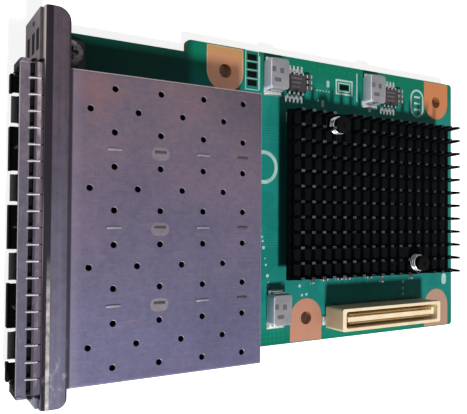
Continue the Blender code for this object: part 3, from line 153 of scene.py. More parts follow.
class Graph:
    """The node tree of a material or of the world, written from its coordinates to its shader."""

    MIX_FACTOR, MIX_FIRST, MIX_SECOND, MIX_RESULT = 0, 6, 7, 2

    def __init__(self, tree: bpy.types.NodeTree) -> None:
        """Takes a fresh node tree.

        Args:
            tree: The material's or the world's tree.
        """
        self.tree = tree
        self.shader = tree.nodes.get("Principled BSDF") or tree.nodes["Background"]
        self.base: Value | None = None

    def node(self, kind: str, output: int | str, inputs: dict | None = None, **settings: object) -> Value:
        """Adds a node.

        Args:
            kind: The node's type name.
            output: The name or number of the output that is used.
            inputs: Values for its inputs, by name or number.
            settings: Attributes to set on it.

        Returns:
            The output.
        """
        made = self.tree.nodes.new(kind)
        for setting, value in settings.items():
            setattr(made, setting, value)
        for name, value in (inputs or {}).items():
            self.feed(made.inputs[name], value)
        return Value(self, made.outputs[output])

    def feed(self, target: Socket, value: object) -> None:
        """Links a value to an input, or writes a plain one into it.

        Args:
            target: The input socket.
            value: A Value, a number, a vector, or a colour of three numbers.
        """
        if isinstance(value, Value):
            self.tree.links.new(value.socket, target)
        elif target.type == "RGBA":
            target.default_value = (*value, 1.0)
        else:
            target.default_value = value

    def set(self, **sockets: object) -> None:
        """Feeds the shader's sockets. Their names are written with underscores."""
        for name, value in sockets.items():
            self.feed(self.shader.inputs[name.replace("_", " ")], value)

    @cached_property
    def coordinates(self) -> Value:
        """The object coordinates."""
        return self.node("ShaderNodeTexCoord", "Object")

    def place(self, per_mm: float | Sequence[float]) -> Value:
        """Object coordinates, scaled so that a texture of scale 1 has features of a chosen size.

        Args:
            per_mm: Features in a millimetre, along X, Y and Z or the same along all three.

        Returns:
            The scaled vector.
        """
        counts = (per_mm,) * 3 if isinstance(per_mm, float) else per_mm
        scale = [count / MM for count in counts]
        return self.node("ShaderNodeMapping", "Vector", {"Vector": self.coordinates, "Scale": scale})

    def noise(self, per_mm: float | Sequence[float], detail: float = 3.0, roughness: float = 0.5) -> Value:
        """Noise in object space.

        Args:
            per_mm: Features in a millimetre.
            detail: Octaves added to the coarsest.
            roughness: Weight of the fine octaves.

        Returns:
            The noise's value, about 0.5 on average.
        """
        inputs = {"Vector": self.place(per_mm), "Scale": 1.0, "Detail": detail, "Roughness": roughness}
        return self.node("ShaderNodeTexNoise", "Fac", inputs)

    def cells(self, per_mm: float) -> Value:
        """The distance to the nearest cell's middle."""
        return self.node("ShaderNodeTexVoronoi", "Distance", {"Vector": self.place(per_mm), "Scale": 1.0})

    def wave(self, per_mm: float, direction: str, distortion: float) -> Value:
        """Even bands across an axis.

        Args:
            per_mm: Bands in a millimetre.
            direction: The axis that the bands cross.
            distortion: How much they wander.

        Returns:
            The bands' value from 0 to 1.
        """
        # A wave texture of scale 1 has a band every tenth of pi.
        inputs = {"Vector": self.place(per_mm), "Scale": math.pi / 10, "Distortion": distortion}
        return self.node("ShaderNodeTexWave", "Fac", inputs, bands_direction=direction)

    def maths(self, operation: str, first: object, second: object = 0.0) -> Value:
        """One sum of two values."""
        return self.node("ShaderNodeMath", "Value", {0: first, 1: second}, operation=operation)

    def blend(self, share: object, first: object, second: object) -> Value:
        """The first colour where the share is 0 and the second where it is 1."""
        inputs = {self.MIX_FACTOR: share, self.MIX_FIRST: first, self.MIX_SECOND: second}
        return self.node("ShaderNodeMix", self.MIX_RESULT, inputs, data_type="RGBA")

    def coat(self, colour: object, share: object) -> None:
        """Lays a colour over the base colour, by the share."""
        self.base = self.blend(share, self.base, colour)

    def axis(self, name: str, vector: Value | None = None) -> Value:
        """X, Y or Z of the object coordinates, or of another vector."""
        return self.node("ShaderNodeSeparateXYZ", name, {0: vector or self.coordinates})

    def facing(self) -> Value:
        """The surface normal's Z, which is 1 on a top face."""
        return self.axis("Z", self.node("ShaderNodeNewGeometry", "Normal"))

    def surface(self, roughness: object, metallic: object = 0.0, specular: float = 0.5) -> None:
        """Hands the base colour and the rest of the surface to the shader."""
        self.set(Base_Color=self.base, Roughness=roughness, Metallic=metallic, Specular_IOR_Level=specular)

    def bump(self, height: Value, depth: float) -> None:
        """Presses a relief of 0 to 1 into the shader's normal, this deep."""
        relief = {"Height": height, "Distance": depth, "Strength": 1.0}
        self.set(Normal=self.node("ShaderNodeBump", "Normal", relief))


@dataclass(frozen=True)
class Finish:
    """A surface finish: the record's slot that it belongs to and the colours that it is made of."""

    name: str
    slot: str
    colour: Colour
    second: Colour
    roughness: float

    def material(self) -> bpy.types.Material:
        """The finish's material, made once.

        Returns:
            The material.
        """
        made = bpy.data.materials.get(self.name)
        if made is None:
            made = bpy.data.materials.new(self.name)
            made.use_nodes = True
            self.paint(Graph(made.node_tree))
        return made

    def paint(self, graph: Graph) -> None:
        """Wires the finish into the graph. Each kind of finish has its own way."""
        raise NotImplementedError


# Painted shade: near-black laid over the ports' insides, the gasket's folds beside the mouth and the flange's shadow.
SHADE_BLACK: Colour = (0.004, 0.004, 0.005)
SHADE_ROUGHNESS = 0.95


@dataclass(frozen=True)
class PlatedMetal(Finish):
    """Plated sheet: cloudy plating, a rolling grain along one axis, fine scuffs and dull specks."""

    grain: Triple = (0.25, 6.0, 6.0)
    grain_depth: float = 0.004 * MM
    cloud: float = 0.07
    mottle: float = 0.9
    mottle_share: float = 0.55
    scuff: float = 0.35
    speck: float = 0.25
    metallic: float = 0.6
    specular: float = 0.5
    drift: Colour | None = None
    drift_along: Point = mm(26.0, -24.0)

    def sheet(self, graph: Graph) -> None:
        """Lays the plating's colour before wear: cloudy, and drifting to a tint along Y that is partly a painted
        reflection.

        Args:
            graph: The material's graph.
        """
        clouds = graph.noise(self.cloud, 5.0, 0.6).window(0.38, 0.62)
        mottle = graph.noise(self.mottle, 4.0, 0.7).window(0.35, 0.65)
        clouds = clouds * (1 - self.mottle_share) + mottle * self.mottle_share
        graph.base = graph.blend(clouds, self.colour, self.second)
        if self.drift is not None:
            cloudy = graph.blend(clouds, self.drift, tone(self.drift, 0.7))
            graph.coat(cloudy, graph.axis("Y").window(*self.drift_along))

    def paint(self, graph: Graph) -> None:
        """Wires the finish into the graph.

        Args:
            graph: The material's graph.
        """
        self.sheet(graph)
        fine = graph.noise(1.6, 4.0, 0.65)
        graph.coat(tone(self.second, 0.55), fine.window(0.6, 0.74) * self.speck)
        grain = graph.noise(self.grain, 2.0)
        graph.coat(tone(self.colour, 1.3), grain.window(0.6, 0.72) * self.scuff)
        self.shade(graph, fine * 0.25 + (self.roughness - 0.12))
        graph.bump(grain + fine * 0.6, self.grain_depth)

    def shade(self, graph: Graph, rough: Value) -> None:
        """Lays on the part's own marks, and hands the surface to the shader."""
        graph.surface(rough, self.metallic, self.specular)

    def shaded_black(self, graph: Graph, rough: Value, unshaded: Value) -> None:
        """Hands the surface to the shader, painted black and dull as shade where the unshaded share is 0."""
        graph.base = graph.blend(unshaded, SHADE_BLACK, graph.base)
        graph.surface(rough | (SHADE_ROUGHNESS - unshaded), unshaded * self.metallic, self.specular)


@dataclass(frozen=True)
class CagePlating(PlatedMetal):
    """The cage's plating, bright outside and painted black and dull inside the ports, where they stand in shade.

    Each pair of places is where a mark begins and where it is whole.
    """

    specular: float = 0.2
    middle: float = -4.55 * MM
    behind: Point = mm(-10.3, -10.26)
    beside: Point = mm(28.1, 28.14)
    above: Point = mm(12.455, 12.463)
    free: Point = mm(-54.8, -54.76)
    corner: Point = mm(-8.0, 13.0)
    warm: Colour = (0.26, 0.125, 0.120)
    warm_place: Point = mm(-45.5, 20.5)
    warm_reach: Point = mm(8.0, 1.0)
    # Painted light: highlights on the +Y fold, behind the flange and on the rear fold, and the flange's shadow.
    fold: Point = mm(23.35, 23.43)
    fold_highlight: Colour = (0.42, 0.33, 0.34)
    lit: Point = mm(-48.0, -49.8)
    lit_colour: Colour = (0.33, 0.27, 0.35)
    flange_shadow: Point = mm(-49.95, -50.2)
    rear_fold: Point = mm(-10.6, -10.55)
    rear_highlight: Colour = (0.22, 0.25, 0.30)

    def outside(self, graph: Graph) -> Value:
        """Which faces are outside the ports.

        Args:
            graph: The material's graph.

        Returns:
            1 outside and 0 inside.
        """
        x = graph.axis("X")
        beside = abs(graph.axis("Y") - self.middle).window(*self.beside)
        above = graph.axis("Z").window(*self.above)
        # Under the gasket counts as inside, so the cover shows black as painted shade through the gasket's windows.
        return x.window(*self.behind) | (x.window(*self.free) * (beside | above))

    def shade(self, graph: Graph, rough: Value) -> None:
        """Lays on the marks of the cage, and hands the surface to the shader.

        Args:
            graph: The material's graph.
            rough: The roughness.
        """
        x, y = graph.axis("X"), graph.axis("Y")
        # Painted shade, darker toward the top's rear corner on the +Y side.
        graph.coat(tone(self.second, 0.35), (x + y).window(*self.corner) * 0.5)
        away = abs(x - self.warm_place[0]) + abs(y - self.warm_place[1])
        graph.coat(self.warm, away.window(*self.warm_reach) * 0.45)
        # Painted highlights on the +Y fold and on a strip behind the flange.
        graph.coat(self.fold_highlight, y.window(*self.fold))
        graph.coat(self.lit_colour, x.window(*self.lit) * 0.22)
        # Painted shadow of the flange, just behind it on the top.
        graph.coat(SHADE_BLACK, x.window(*self.flange_shadow) * 0.85)
        # Painted highlight along the rear fold.
        graph.coat(self.rear_highlight, x.window(*self.rear_fold) * 0.7)
        # The ports' insides are painted black as their shade.
        self.shaded_black(graph, rough, self.outside(graph))


@dataclass(frozen=True)
class LatchPlating(CagePlating):
    """The base sheet's plating, bright on the latch tongues near the mouth and painted black elsewhere as the ports'
    shade.
    """

    port_pitch: float = 14.25 * MM
    tongue_half_width: float = 2.52 * MM
    near: Point = mm(-49.0, -50.0)

    def outside(self, graph: Graph) -> Value:
        """Which faces belong to a latch tongue.

        Args:
            graph: The material's graph.

        Returns:
            1 there and 0 elsewhere.
        """
        ports = (graph.axis("Y") - self.middle) * (1 / self.port_pitch)
        reach = self.tongue_half_width / self.port_pitch
        tongue = abs(graph.maths("FRACT", ports) - 0.5).window(reach + 0.003, reach)
        return tongue & graph.axis("X").window(*self.near)


@dataclass(frozen=True)
class SpringPlating(PlatedMetal):
    """The gasket's plating, with a painted highlight along the fingers' crest and painted shade before and behind it.
    """

    specular: float = 0.2
    crest: Triple = mm(-56.2, -55.8, 0.2)
    over: Point = mm(12.95, 13.05)
    down_side: Point = mm(20.0, -4.0)
    slope_end: Point = mm(-56.4, -56.5)
    slope_start: Point = mm(-57.3, -57.2)
    tail: Point = mm(-55.7, -55.5)
    # The crest's painted highlight, and the painted shade of slope and tail, which turns paler toward -Y.
    crest_highlight: Colour = (0.50, 0.41, 0.43)
    shade_colour: Colour = (0.035, 0.026, 0.028)
    tail_tint: Colour = (0.165, 0.118, 0.150)
    slope_tint: Colour = (0.045, 0.038, 0.062)
    fold: Point = mm(-58.84, -58.89)
    below: Point = mm(12.5, 12.4)

    def sheet(self, graph: Graph) -> None:
        """Lays the plating's colour before wear: a painted highlight on the crest, painted shade on slope and tail.

        Args:
            graph: The material's graph.
        """
        super().sheet(graph)
        x = graph.axis("X")
        on_top = graph.axis("Z").window(*self.over)
        down_side = graph.axis("Y").window(*self.down_side)
        patchy = graph.noise((0.8, 0.35, 0.8)).window(0.3, 0.6)
        strength = (patchy * 0.9 - down_side * 0.6) | 0.1
        # The painted highlight is patchy and weaker toward -Y.
        graph.coat(self.crest_highlight, x.band(*self.crest) * on_top * strength)
        slope = x.window(*self.slope_end) * x.window(*self.slope_start) * on_top * 0.85
        graph.coat(graph.blend(down_side, self.shade_colour, self.slope_tint), slope)
        tail = x.window(*self.tail) * on_top * 0.8
        graph.coat(graph.blend(down_side, self.shade_colour, self.tail_tint), tail)

    def shade(self, graph: Graph, rough: Value) -> None:
        """Hands the surface to the shader, painted black as shade on the folds beside the mouth."""
        folds = graph.axis("X").window(*self.fold) * graph.axis("Z").window(*self.below)
        self.shaded_black(graph, rough, 1.0 - folds)


@dataclass(frozen=True)
class BentPlating(PlatedMetal):
    """The face plate's plating: painted highlights on the riser and bend, painted shade on the bend, rear edge and
    foot.
    """

    specular: float = 0.2
    above: Point = mm(12.3, 12.35)
    soft: float = 0.06 * MM
    riser: float = -55.12 * MM
    rim: Point = mm(-54.5, -53.95)
    rear_edge: Point = mm(-51.23, -51.13)
    foot: Point = mm(-50.68, -50.48)
    plus_end: Point = mm(20.0, 24.0)
    middle: tuple[Point, Point] = (mm(2.0, -3.0), mm(-16.0, -10.0))
    minus_end: Point = mm(-9.0, -18.0)
    scratched: Point = mm(-20.0, -33.0)
    # A painted highlight colour, and a painted shade colour that also draws faint streaks along Y.
    bright: Colour = (0.46, 0.43, 0.40)
    dull: Colour = (0.005, 0.003, 0.006)
    scratch: Colour = (0.26, 0.30, 0.36)

    def shade(self, graph: Graph, rough: Value) -> None:
        """Lays on the marks of the plate, and hands the surface to the shader.

        Args:
            graph: The material's graph.
            rough: The roughness.
        """
        x, y = graph.axis("X"), graph.axis("Y")
        above = graph.axis("Z").window(*self.above)
        start, end = self.rim
        graph.coat(self.dull, graph.noise((1.1, 0.03, 1.1)).window(0.4, 0.7) * 0.28)
        # Painted shade over the bend from the riser to the rim's end, less the riser, and along the rear edge.
        riser = x.window(self.riser + self.soft, self.riser) * above
        graph.coat(self.dull, (x.band(self.riser, end, self.soft) - riser) * above * 0.85)
        graph.coat(self.dull, x.window(*self.rear_edge) * above * 0.7)
        # Painted highlight on the riser, along the +Y end and the middle.
        left, right = self.middle
        lengths = y.window(*self.plus_end) | (y.window(*left) * y.window(*right) * 0.7)
        graph.coat(self.bright, riser * lengths * 0.75)
        # Painted highlight in patches on the bend's end toward -Y.
        patchy_rim_highlight = graph.noise(0.5).window(0.25, 0.6) * y.window(*self.minus_end)
        graph.coat(self.bright, x.band(start, end, self.soft) * above * patchy_rim_highlight * 0.85)
        scratches = graph.noise((0.8, 0.45, 0.8), 4.0, 0.7).window(0.56, 0.66)
        graph.coat(self.scratch, scratches * y.window(*self.scratched) * 0.6)
        # Painted shade over the foot behind the flange.
        graph.coat(self.dull, x.window(*self.foot) * 0.8)
        graph.surface(rough, self.metallic, self.specular)


@dataclass(frozen=True)
class SolderMask(Finish):
    """Green mask over copper pours and glass weave, laminate bare on the edges, and the cage's shadow painted on one
    corner.
    """

    laminate: Colour = (0.10, 0.17, 0.055)
    laminate_roughness: float = 0.75
    weave_per_mm: float = 1.6
    plies_per_mm: float = 7.0
    rim: Point = mm(24.5, 33.0)
    rim_colour: Colour = (0.003, 0.150, 0.084)
    # The corner where the cage's shadow is painted on the board.
    corner_x: Point = mm(-21.5, -23.5)
    corner_y: Point = mm(23.0, 24.0)
    shade_colour: Colour = (0.0012, 0.012, 0.013)

    def paint(self, graph: Graph) -> None:
        """Wires the finish into the graph.

        Args:
            graph: The material's graph.
        """
        y = graph.axis("Y")
        graph.base = graph.blend(graph.noise(0.16, 1.0).window(0.47, 0.5), self.colour, self.second)
        graph.coat(tone(self.colour, 0.72), graph.noise(0.05, 2.0).window(0.35, 0.7) * 0.45)
        graph.coat(self.rim_colour, abs(y).window(*self.rim))
        # Painted shadow of the cage on the board's corner beyond it; the weave is left out there.
        corner = graph.axis("X").window(*self.corner_x) * y.window(*self.corner_y)
        graph.coat(self.shade_colour, corner * 0.75)
        weave = graph.wave(self.weave_per_mm, "X", 0.4) * graph.wave(self.weave_per_mm, "Y", 0.4)
        graph.coat(tone(self.colour, 1.35, 0.01), weave * 0.22 * (1.0 - corner))
        edge = graph.blend(graph.wave(self.plies_per_mm, "Z", 1.0), tone(self.laminate, 0.6), self.laminate)
        flat = abs(graph.facing()).window(0.5, 0.6)
        graph.base = graph.blend(flat, edge, graph.base)
        rough = flat * (self.roughness - self.laminate_roughness) + self.laminate_roughness
        graph.surface(rough, specular=0.07)
        graph.bump(weave + graph.noise(2.2, 2.0), 0.006 * MM)


@dataclass(frozen=True)
class BareCopper(Finish):
    """Bare copper land: rolled sheen and tarnish, in the tint of its corner of the board."""

    tarnish: Colour = (0.33, 0.16, 0.09)
    pink: Colour = (0.43, 0.205, 0.130)
    pink_along: Point = mm(34.0, 26.0)
    wander: float = 9.0 * MM
    olive: Colour = (0.42, 0.25, 0.07)
    olive_along: Point = mm(32.5, 34.8)
    deep: Colour = (0.52, 0.175, 0.050)
    grey: Colour = (0.36, 0.25, 0.185)
    rear: Point = mm(42.0, 46.0)
    upper: Point = mm(-5.0, 5.0)

    def paint(self, graph: Graph) -> None:
        """Wires the finish into the graph.

        Args:
            graph: The material's graph.
        """
        y = graph.axis("Y")
        clouds = graph.noise(0.22, 4.0, 0.6).window(0.35, 0.65)
        graph.base = graph.blend(clouds, self.colour, self.second)
        wander = (graph.noise(0.3) - 0.5) * self.wander
        graph.coat(self.pink, (y + wander).window(*self.pink_along))
        graph.coat(self.olive, y.window(*self.olive_along) * 0.55)
        rear, upper = graph.axis("X").window(*self.rear), y.window(*self.upper)
        graph.coat(self.deep, rear * upper * 0.8)
        graph.coat(self.grey, rear * (1.0 - upper) * 0.6)
        graph.coat(self.tarnish, graph.noise(1.4, 4.0, 0.7).window(0.6, 0.72) * 0.5)
        graph.surface(clouds * 0.18 + self.roughness, 0.4)
        graph.bump(graph.noise((8.0, 0.6, 1.0), 2.0), 0.003 * MM)


@dataclass(frozen=True)
class Solder(Finish):
    """Reflowed solder or tin: bright, with frosty grains."""

    metallic: float = 1.0

    def paint(self, graph: Graph) -> None:
        """Wires the finish into the graph.

        Args:
            graph: The material's graph.
        """
        grains = graph.cells(5.0)
        graph.base = graph.blend(grains.window(0.1, 0.7), self.colour, self.second)
        graph.surface(grains * 0.2 + self.roughness, self.metallic)
        graph.bump(graph.noise(3.0), 0.012 * MM)


@dataclass(frozen=True)
class Anodising(Finish):
    """Black anodised aluminium: matt, with a painted highlight on the tips' top faces above a height, paler toward the
    ports.
    """

    tips: Point = mm(11.0, 11.9)
    paler: Point = mm(0.0, 48.0)

    def paint(self, graph: Graph) -> None:
        """Wires the finish into the graph.

        Args:
            graph: The material's graph.
        """
        clouds = graph.noise(0.5, 4.0)
        graph.base = graph.blend(clouds, self.colour, tone(self.colour, 1.7))
        # Painted highlight on the top faces of the tips.
        tips = graph.axis("Z").window(*self.tips) * graph.facing().window(0.5, 0.6)
        tip_highlight = graph.blend(graph.axis("X").window(*self.paler), self.second, tone(self.second, 0.35))
        graph.coat(tip_highlight, tips * graph.noise(0.9).window(0.3, 0.62))
        graph.surface(clouds * 0.2 + (self.roughness - 0.1), specular=0.02)
        graph.bump(graph.noise((9.0, 9.0, 1.2), 2.0), 0.006 * MM)


@dataclass(frozen=True)
class Moulded(Finish):
    """Moulded plastic or epoxy: a fine sparked texture and faint flow clouds."""

    texture_per_mm: float = 6.0
    texture_depth: float = 0.008 * MM
    cloud: float = 0.3
    specular: float = 0.4

    def paint(self, graph: Graph) -> None:
        """Wires the finish into the graph.

        Args:
            graph: The material's graph.
        """
        texture = graph.noise(self.texture_per_mm, 3.0, 0.6)
        clouds = graph.noise(self.cloud, 4.0, 0.55).window(0.35, 0.65)
        graph.base = graph.blend(clouds, self.colour, self.second)
        graph.coat(tone(self.second, 0.6), texture.window(0.55, 0.75) * 0.5)
        graph.surface(texture * 0.25 + (self.roughness - 0.12), specular=self.specular)
        graph.bump(texture, self.texture_depth)


CAGE_STEEL = CagePlating(
    "cage_plating", "plated_cage_steel", (0.186, 0.116, 0.130), (0.100, 0.092, 0.132), 0.55,
    speck=0.45, metallic=0.45, drift=(0.118, 0.114, 0.200),
)
LATCH_STEEL = LatchPlating(
    "latch_plating", "plated_cage_steel", (0.12, 0.115, 0.13), (0.09, 0.088, 0.10), 0.5, metallic=0.4
)
PLATE_STEEL = BentPlating(
    "plate_plating", "plated_plate_steel", (0.100, 0.073, 0.092), (0.064, 0.049, 0.062), 0.5,
    grain=(6.0, 0.2, 6.0), scuff=0.6, metallic=0.45, mottle=0.5, drift=(0.124, 0.118, 0.178),
)
SPRING_BRONZE = SpringPlating(
    "gasket_plating", "plated_spring_bronze", (0.19, 0.155, 0.18), (0.105, 0.090, 0.112), 0.42,
    grain=(6.0, 0.5, 0.5), cloud=0.25, mottle=1.4, metallic=0.45, drift=(0.100, 0.094, 0.142),
)
# Pale as a painted highlight: the gasket's ribs stand for the lit edges of its fingers.
RUNG_HIGHLIGHT = PlatedMetal(
    "gasket_rung_highlight", "plated_spring_bronze", (0.62, 0.55, 0.60), (0.45, 0.40, 0.45), 0.4, cloud=0.6, metallic=0.3
)
# Black as painted shade: the gasket's lips and corner block, and the plates over the face plate's slots.
SHADED_BRONZE = Moulded(
    "gasket_lip_painted_shade", "plated_spring_bronze", (0.010, 0.010, 0.011), (0.006, 0.006, 0.007), 0.7, 4.0, specular=0.02
)
SCREW_STEEL = PlatedMetal(
    "screw_plating", "screw_steel", (0.34, 0.34, 0.35), (0.004, 0.003, 0.004), 0.45,
    cloud=0.45, mottle=0.8, metallic=0.2, specular=0.1,
)
SPRING_STEEL = PlatedMetal(
    "spring_wire", "spring_steel", (0.62, 0.62, 0.65), (0.45, 0.45, 0.48), 0.3, cloud=0.6, metallic=1.0
)
MASK = SolderMask("solder_mask", "solder_mask_green", (0.009, 0.184, 0.160), (0.012, 0.212, 0.182), 0.36)
TRACE_MASK = SolderMask(
    "mask_over_copper", "solder_mask_green", (0.011, 0.232, 0.195), (0.013, 0.26, 0.215), 0.34,
    rim_colour=(0.003, 0.19, 0.085),
)
VIA_MASK = SolderMask(
    "mask_over_vias", "solder_mask_green", (0.004, 0.230, 0.105), (0.006, 0.27, 0.12), 0.34,
    rim_colour=(0.004, 0.26, 0.115),
)
COPPER = BareCopper("bare_copper", "contact_gold", (0.52, 0.225, 0.100), (0.46, 0.215, 0.120), 0.42)
COPPER_RIM = BareCopper("copper_rim", "contact_gold", (0.60, 0.43, 0.30), (0.52, 0.36, 0.24), 0.42)
GOLD = Solder("gold_plating", "contact_gold", (0.60, 0.44, 0.20), (0.46, 0.33, 0.14), 0.3, metallic=0.35)
TIN = Solder("tin_solder", "spring_steel", (0.52, 0.54, 0.54), (0.30, 0.32, 0.32), 0.3)
BRIGHT_TIN = Solder("bright_solder", "spring_steel", (0.62, 0.66, 0.65), (0.30, 0.33, 0.32), 0.4)
# Darkened as painted shade: the connector's tails stand in its shadow.
SHADED_TAIL_TIN = Moulded("shaded_tails", "spring_steel", (0.075, 0.08, 0.085), (0.05, 0.053, 0.056), 0.6, 4.0, specular=0.15)
CAGE_RIM = PlatedMetal("vent_rim", "plated_cage_steel", (0.24, 0.22, 0.27), (0.18, 0.16, 0.21), 0.45, metallic=0.3)
STAMP = PlatedMetal(
    "stamped_halo", "plated_cage_steel", (0.200, 0.175, 0.198), (0.128, 0.110, 0.138), 0.55, mottle=1.1, metallic=0.4
)
STAMP_DARK = PlatedMetal(
    "stamped_slot", "plated_cage_steel", (0.03, 0.025, 0.032), (0.05, 0.04, 0.05), 0.6, metallic=0.2
)
LATCH_TIP = PlatedMetal("latch_tip", "plated_cage_steel", (0.13, 0.125, 0.14), (0.09, 0.088, 0.10), 0.5, metallic=0.4)
SILKSCREEN = Moulded("silkscreen_ink", "resistor_ceramic", (0.42, 0.60, 0.56), (0.28, 0.46, 0.42), 0.6, 4.0)
ANODISED = Anodising("black_anodised", "black_anodising", (0.0030, 0.0036, 0.0042), (0.105, 0.11, 0.12), 0.6)
BLACK_PLASTIC = Moulded("black_moulding", "black_plastic", (0.012, 0.012, 0.013), (0.008, 0.008, 0.009), 0.55)
PIN_PLASTIC = Moulded(
    "pin_moulding", "black_plastic", (0.003, 0.003, 0.0035), (0.002, 0.002, 0.0025), 0.7, 5.0, specular=0.05
)
EPOXY = Moulded("package_moulding", "package_epoxy", (0.020, 0.020, 0.023), (0.014, 0.014, 0.016), 0.55, 5.0)
EPOXY_MARK = Moulded("package_mark", "package_epoxy", (0.16, 0.10, 0.12), (0.10, 0.07, 0.08), 0.6, 5.0)
PAD = Moulded("pad_silicone", "thermal_pad_silicone", (0.42, 0.42, 0.45), (0.33, 0.33, 0.36), 0.75, 3.0)
FERRITE = Moulded("ferrite_powder", "ferrite_grey", (0.270, 0.272, 0.290), (0.215, 0.212, 0.232), 0.55, 4.0)
# A paler copy of the ferrite as painted light, for the inductors' faces toward -X.
LIT_FERRITE = Moulded("ferrite_painted_lit_side", "ferrite_grey", (0.80, 0.82, 0.92), (0.66, 0.68, 0.80), 0.5, 4.0)
FERRITE_MARK = Moulded("ferrite_mark", "ferrite_grey", (0.075, 0.068, 0.080), (0.11, 0.10, 0.115), 0.6, 4.0)
CAPACITOR_BODY = Moulded("capacitor_body", "capacitor_ceramic", (0.085, 0.052, 0.050), (0.06, 0.038, 0.036), 0.45, 3.0)
RESISTOR_TOP = Moulded("resistor_glaze", "resistor_ceramic", (0.02, 0.02, 0.022), (0.03, 0.03, 0.03), 0.3, 3.0)
ALUMINA = Moulded("alumina", "resistor_ceramic", (0.46, 0.47, 0.45), (0.36, 0.37, 0.35), 0.55, 4.0)
CREAM = Moulded(
    "cream_moulding", "cream_plastic", (0.88, 0.74, 0.52), (0.80, 0.64, 0.42), 0.45, 3.0, 0.006 * MM, specular=0.25
)


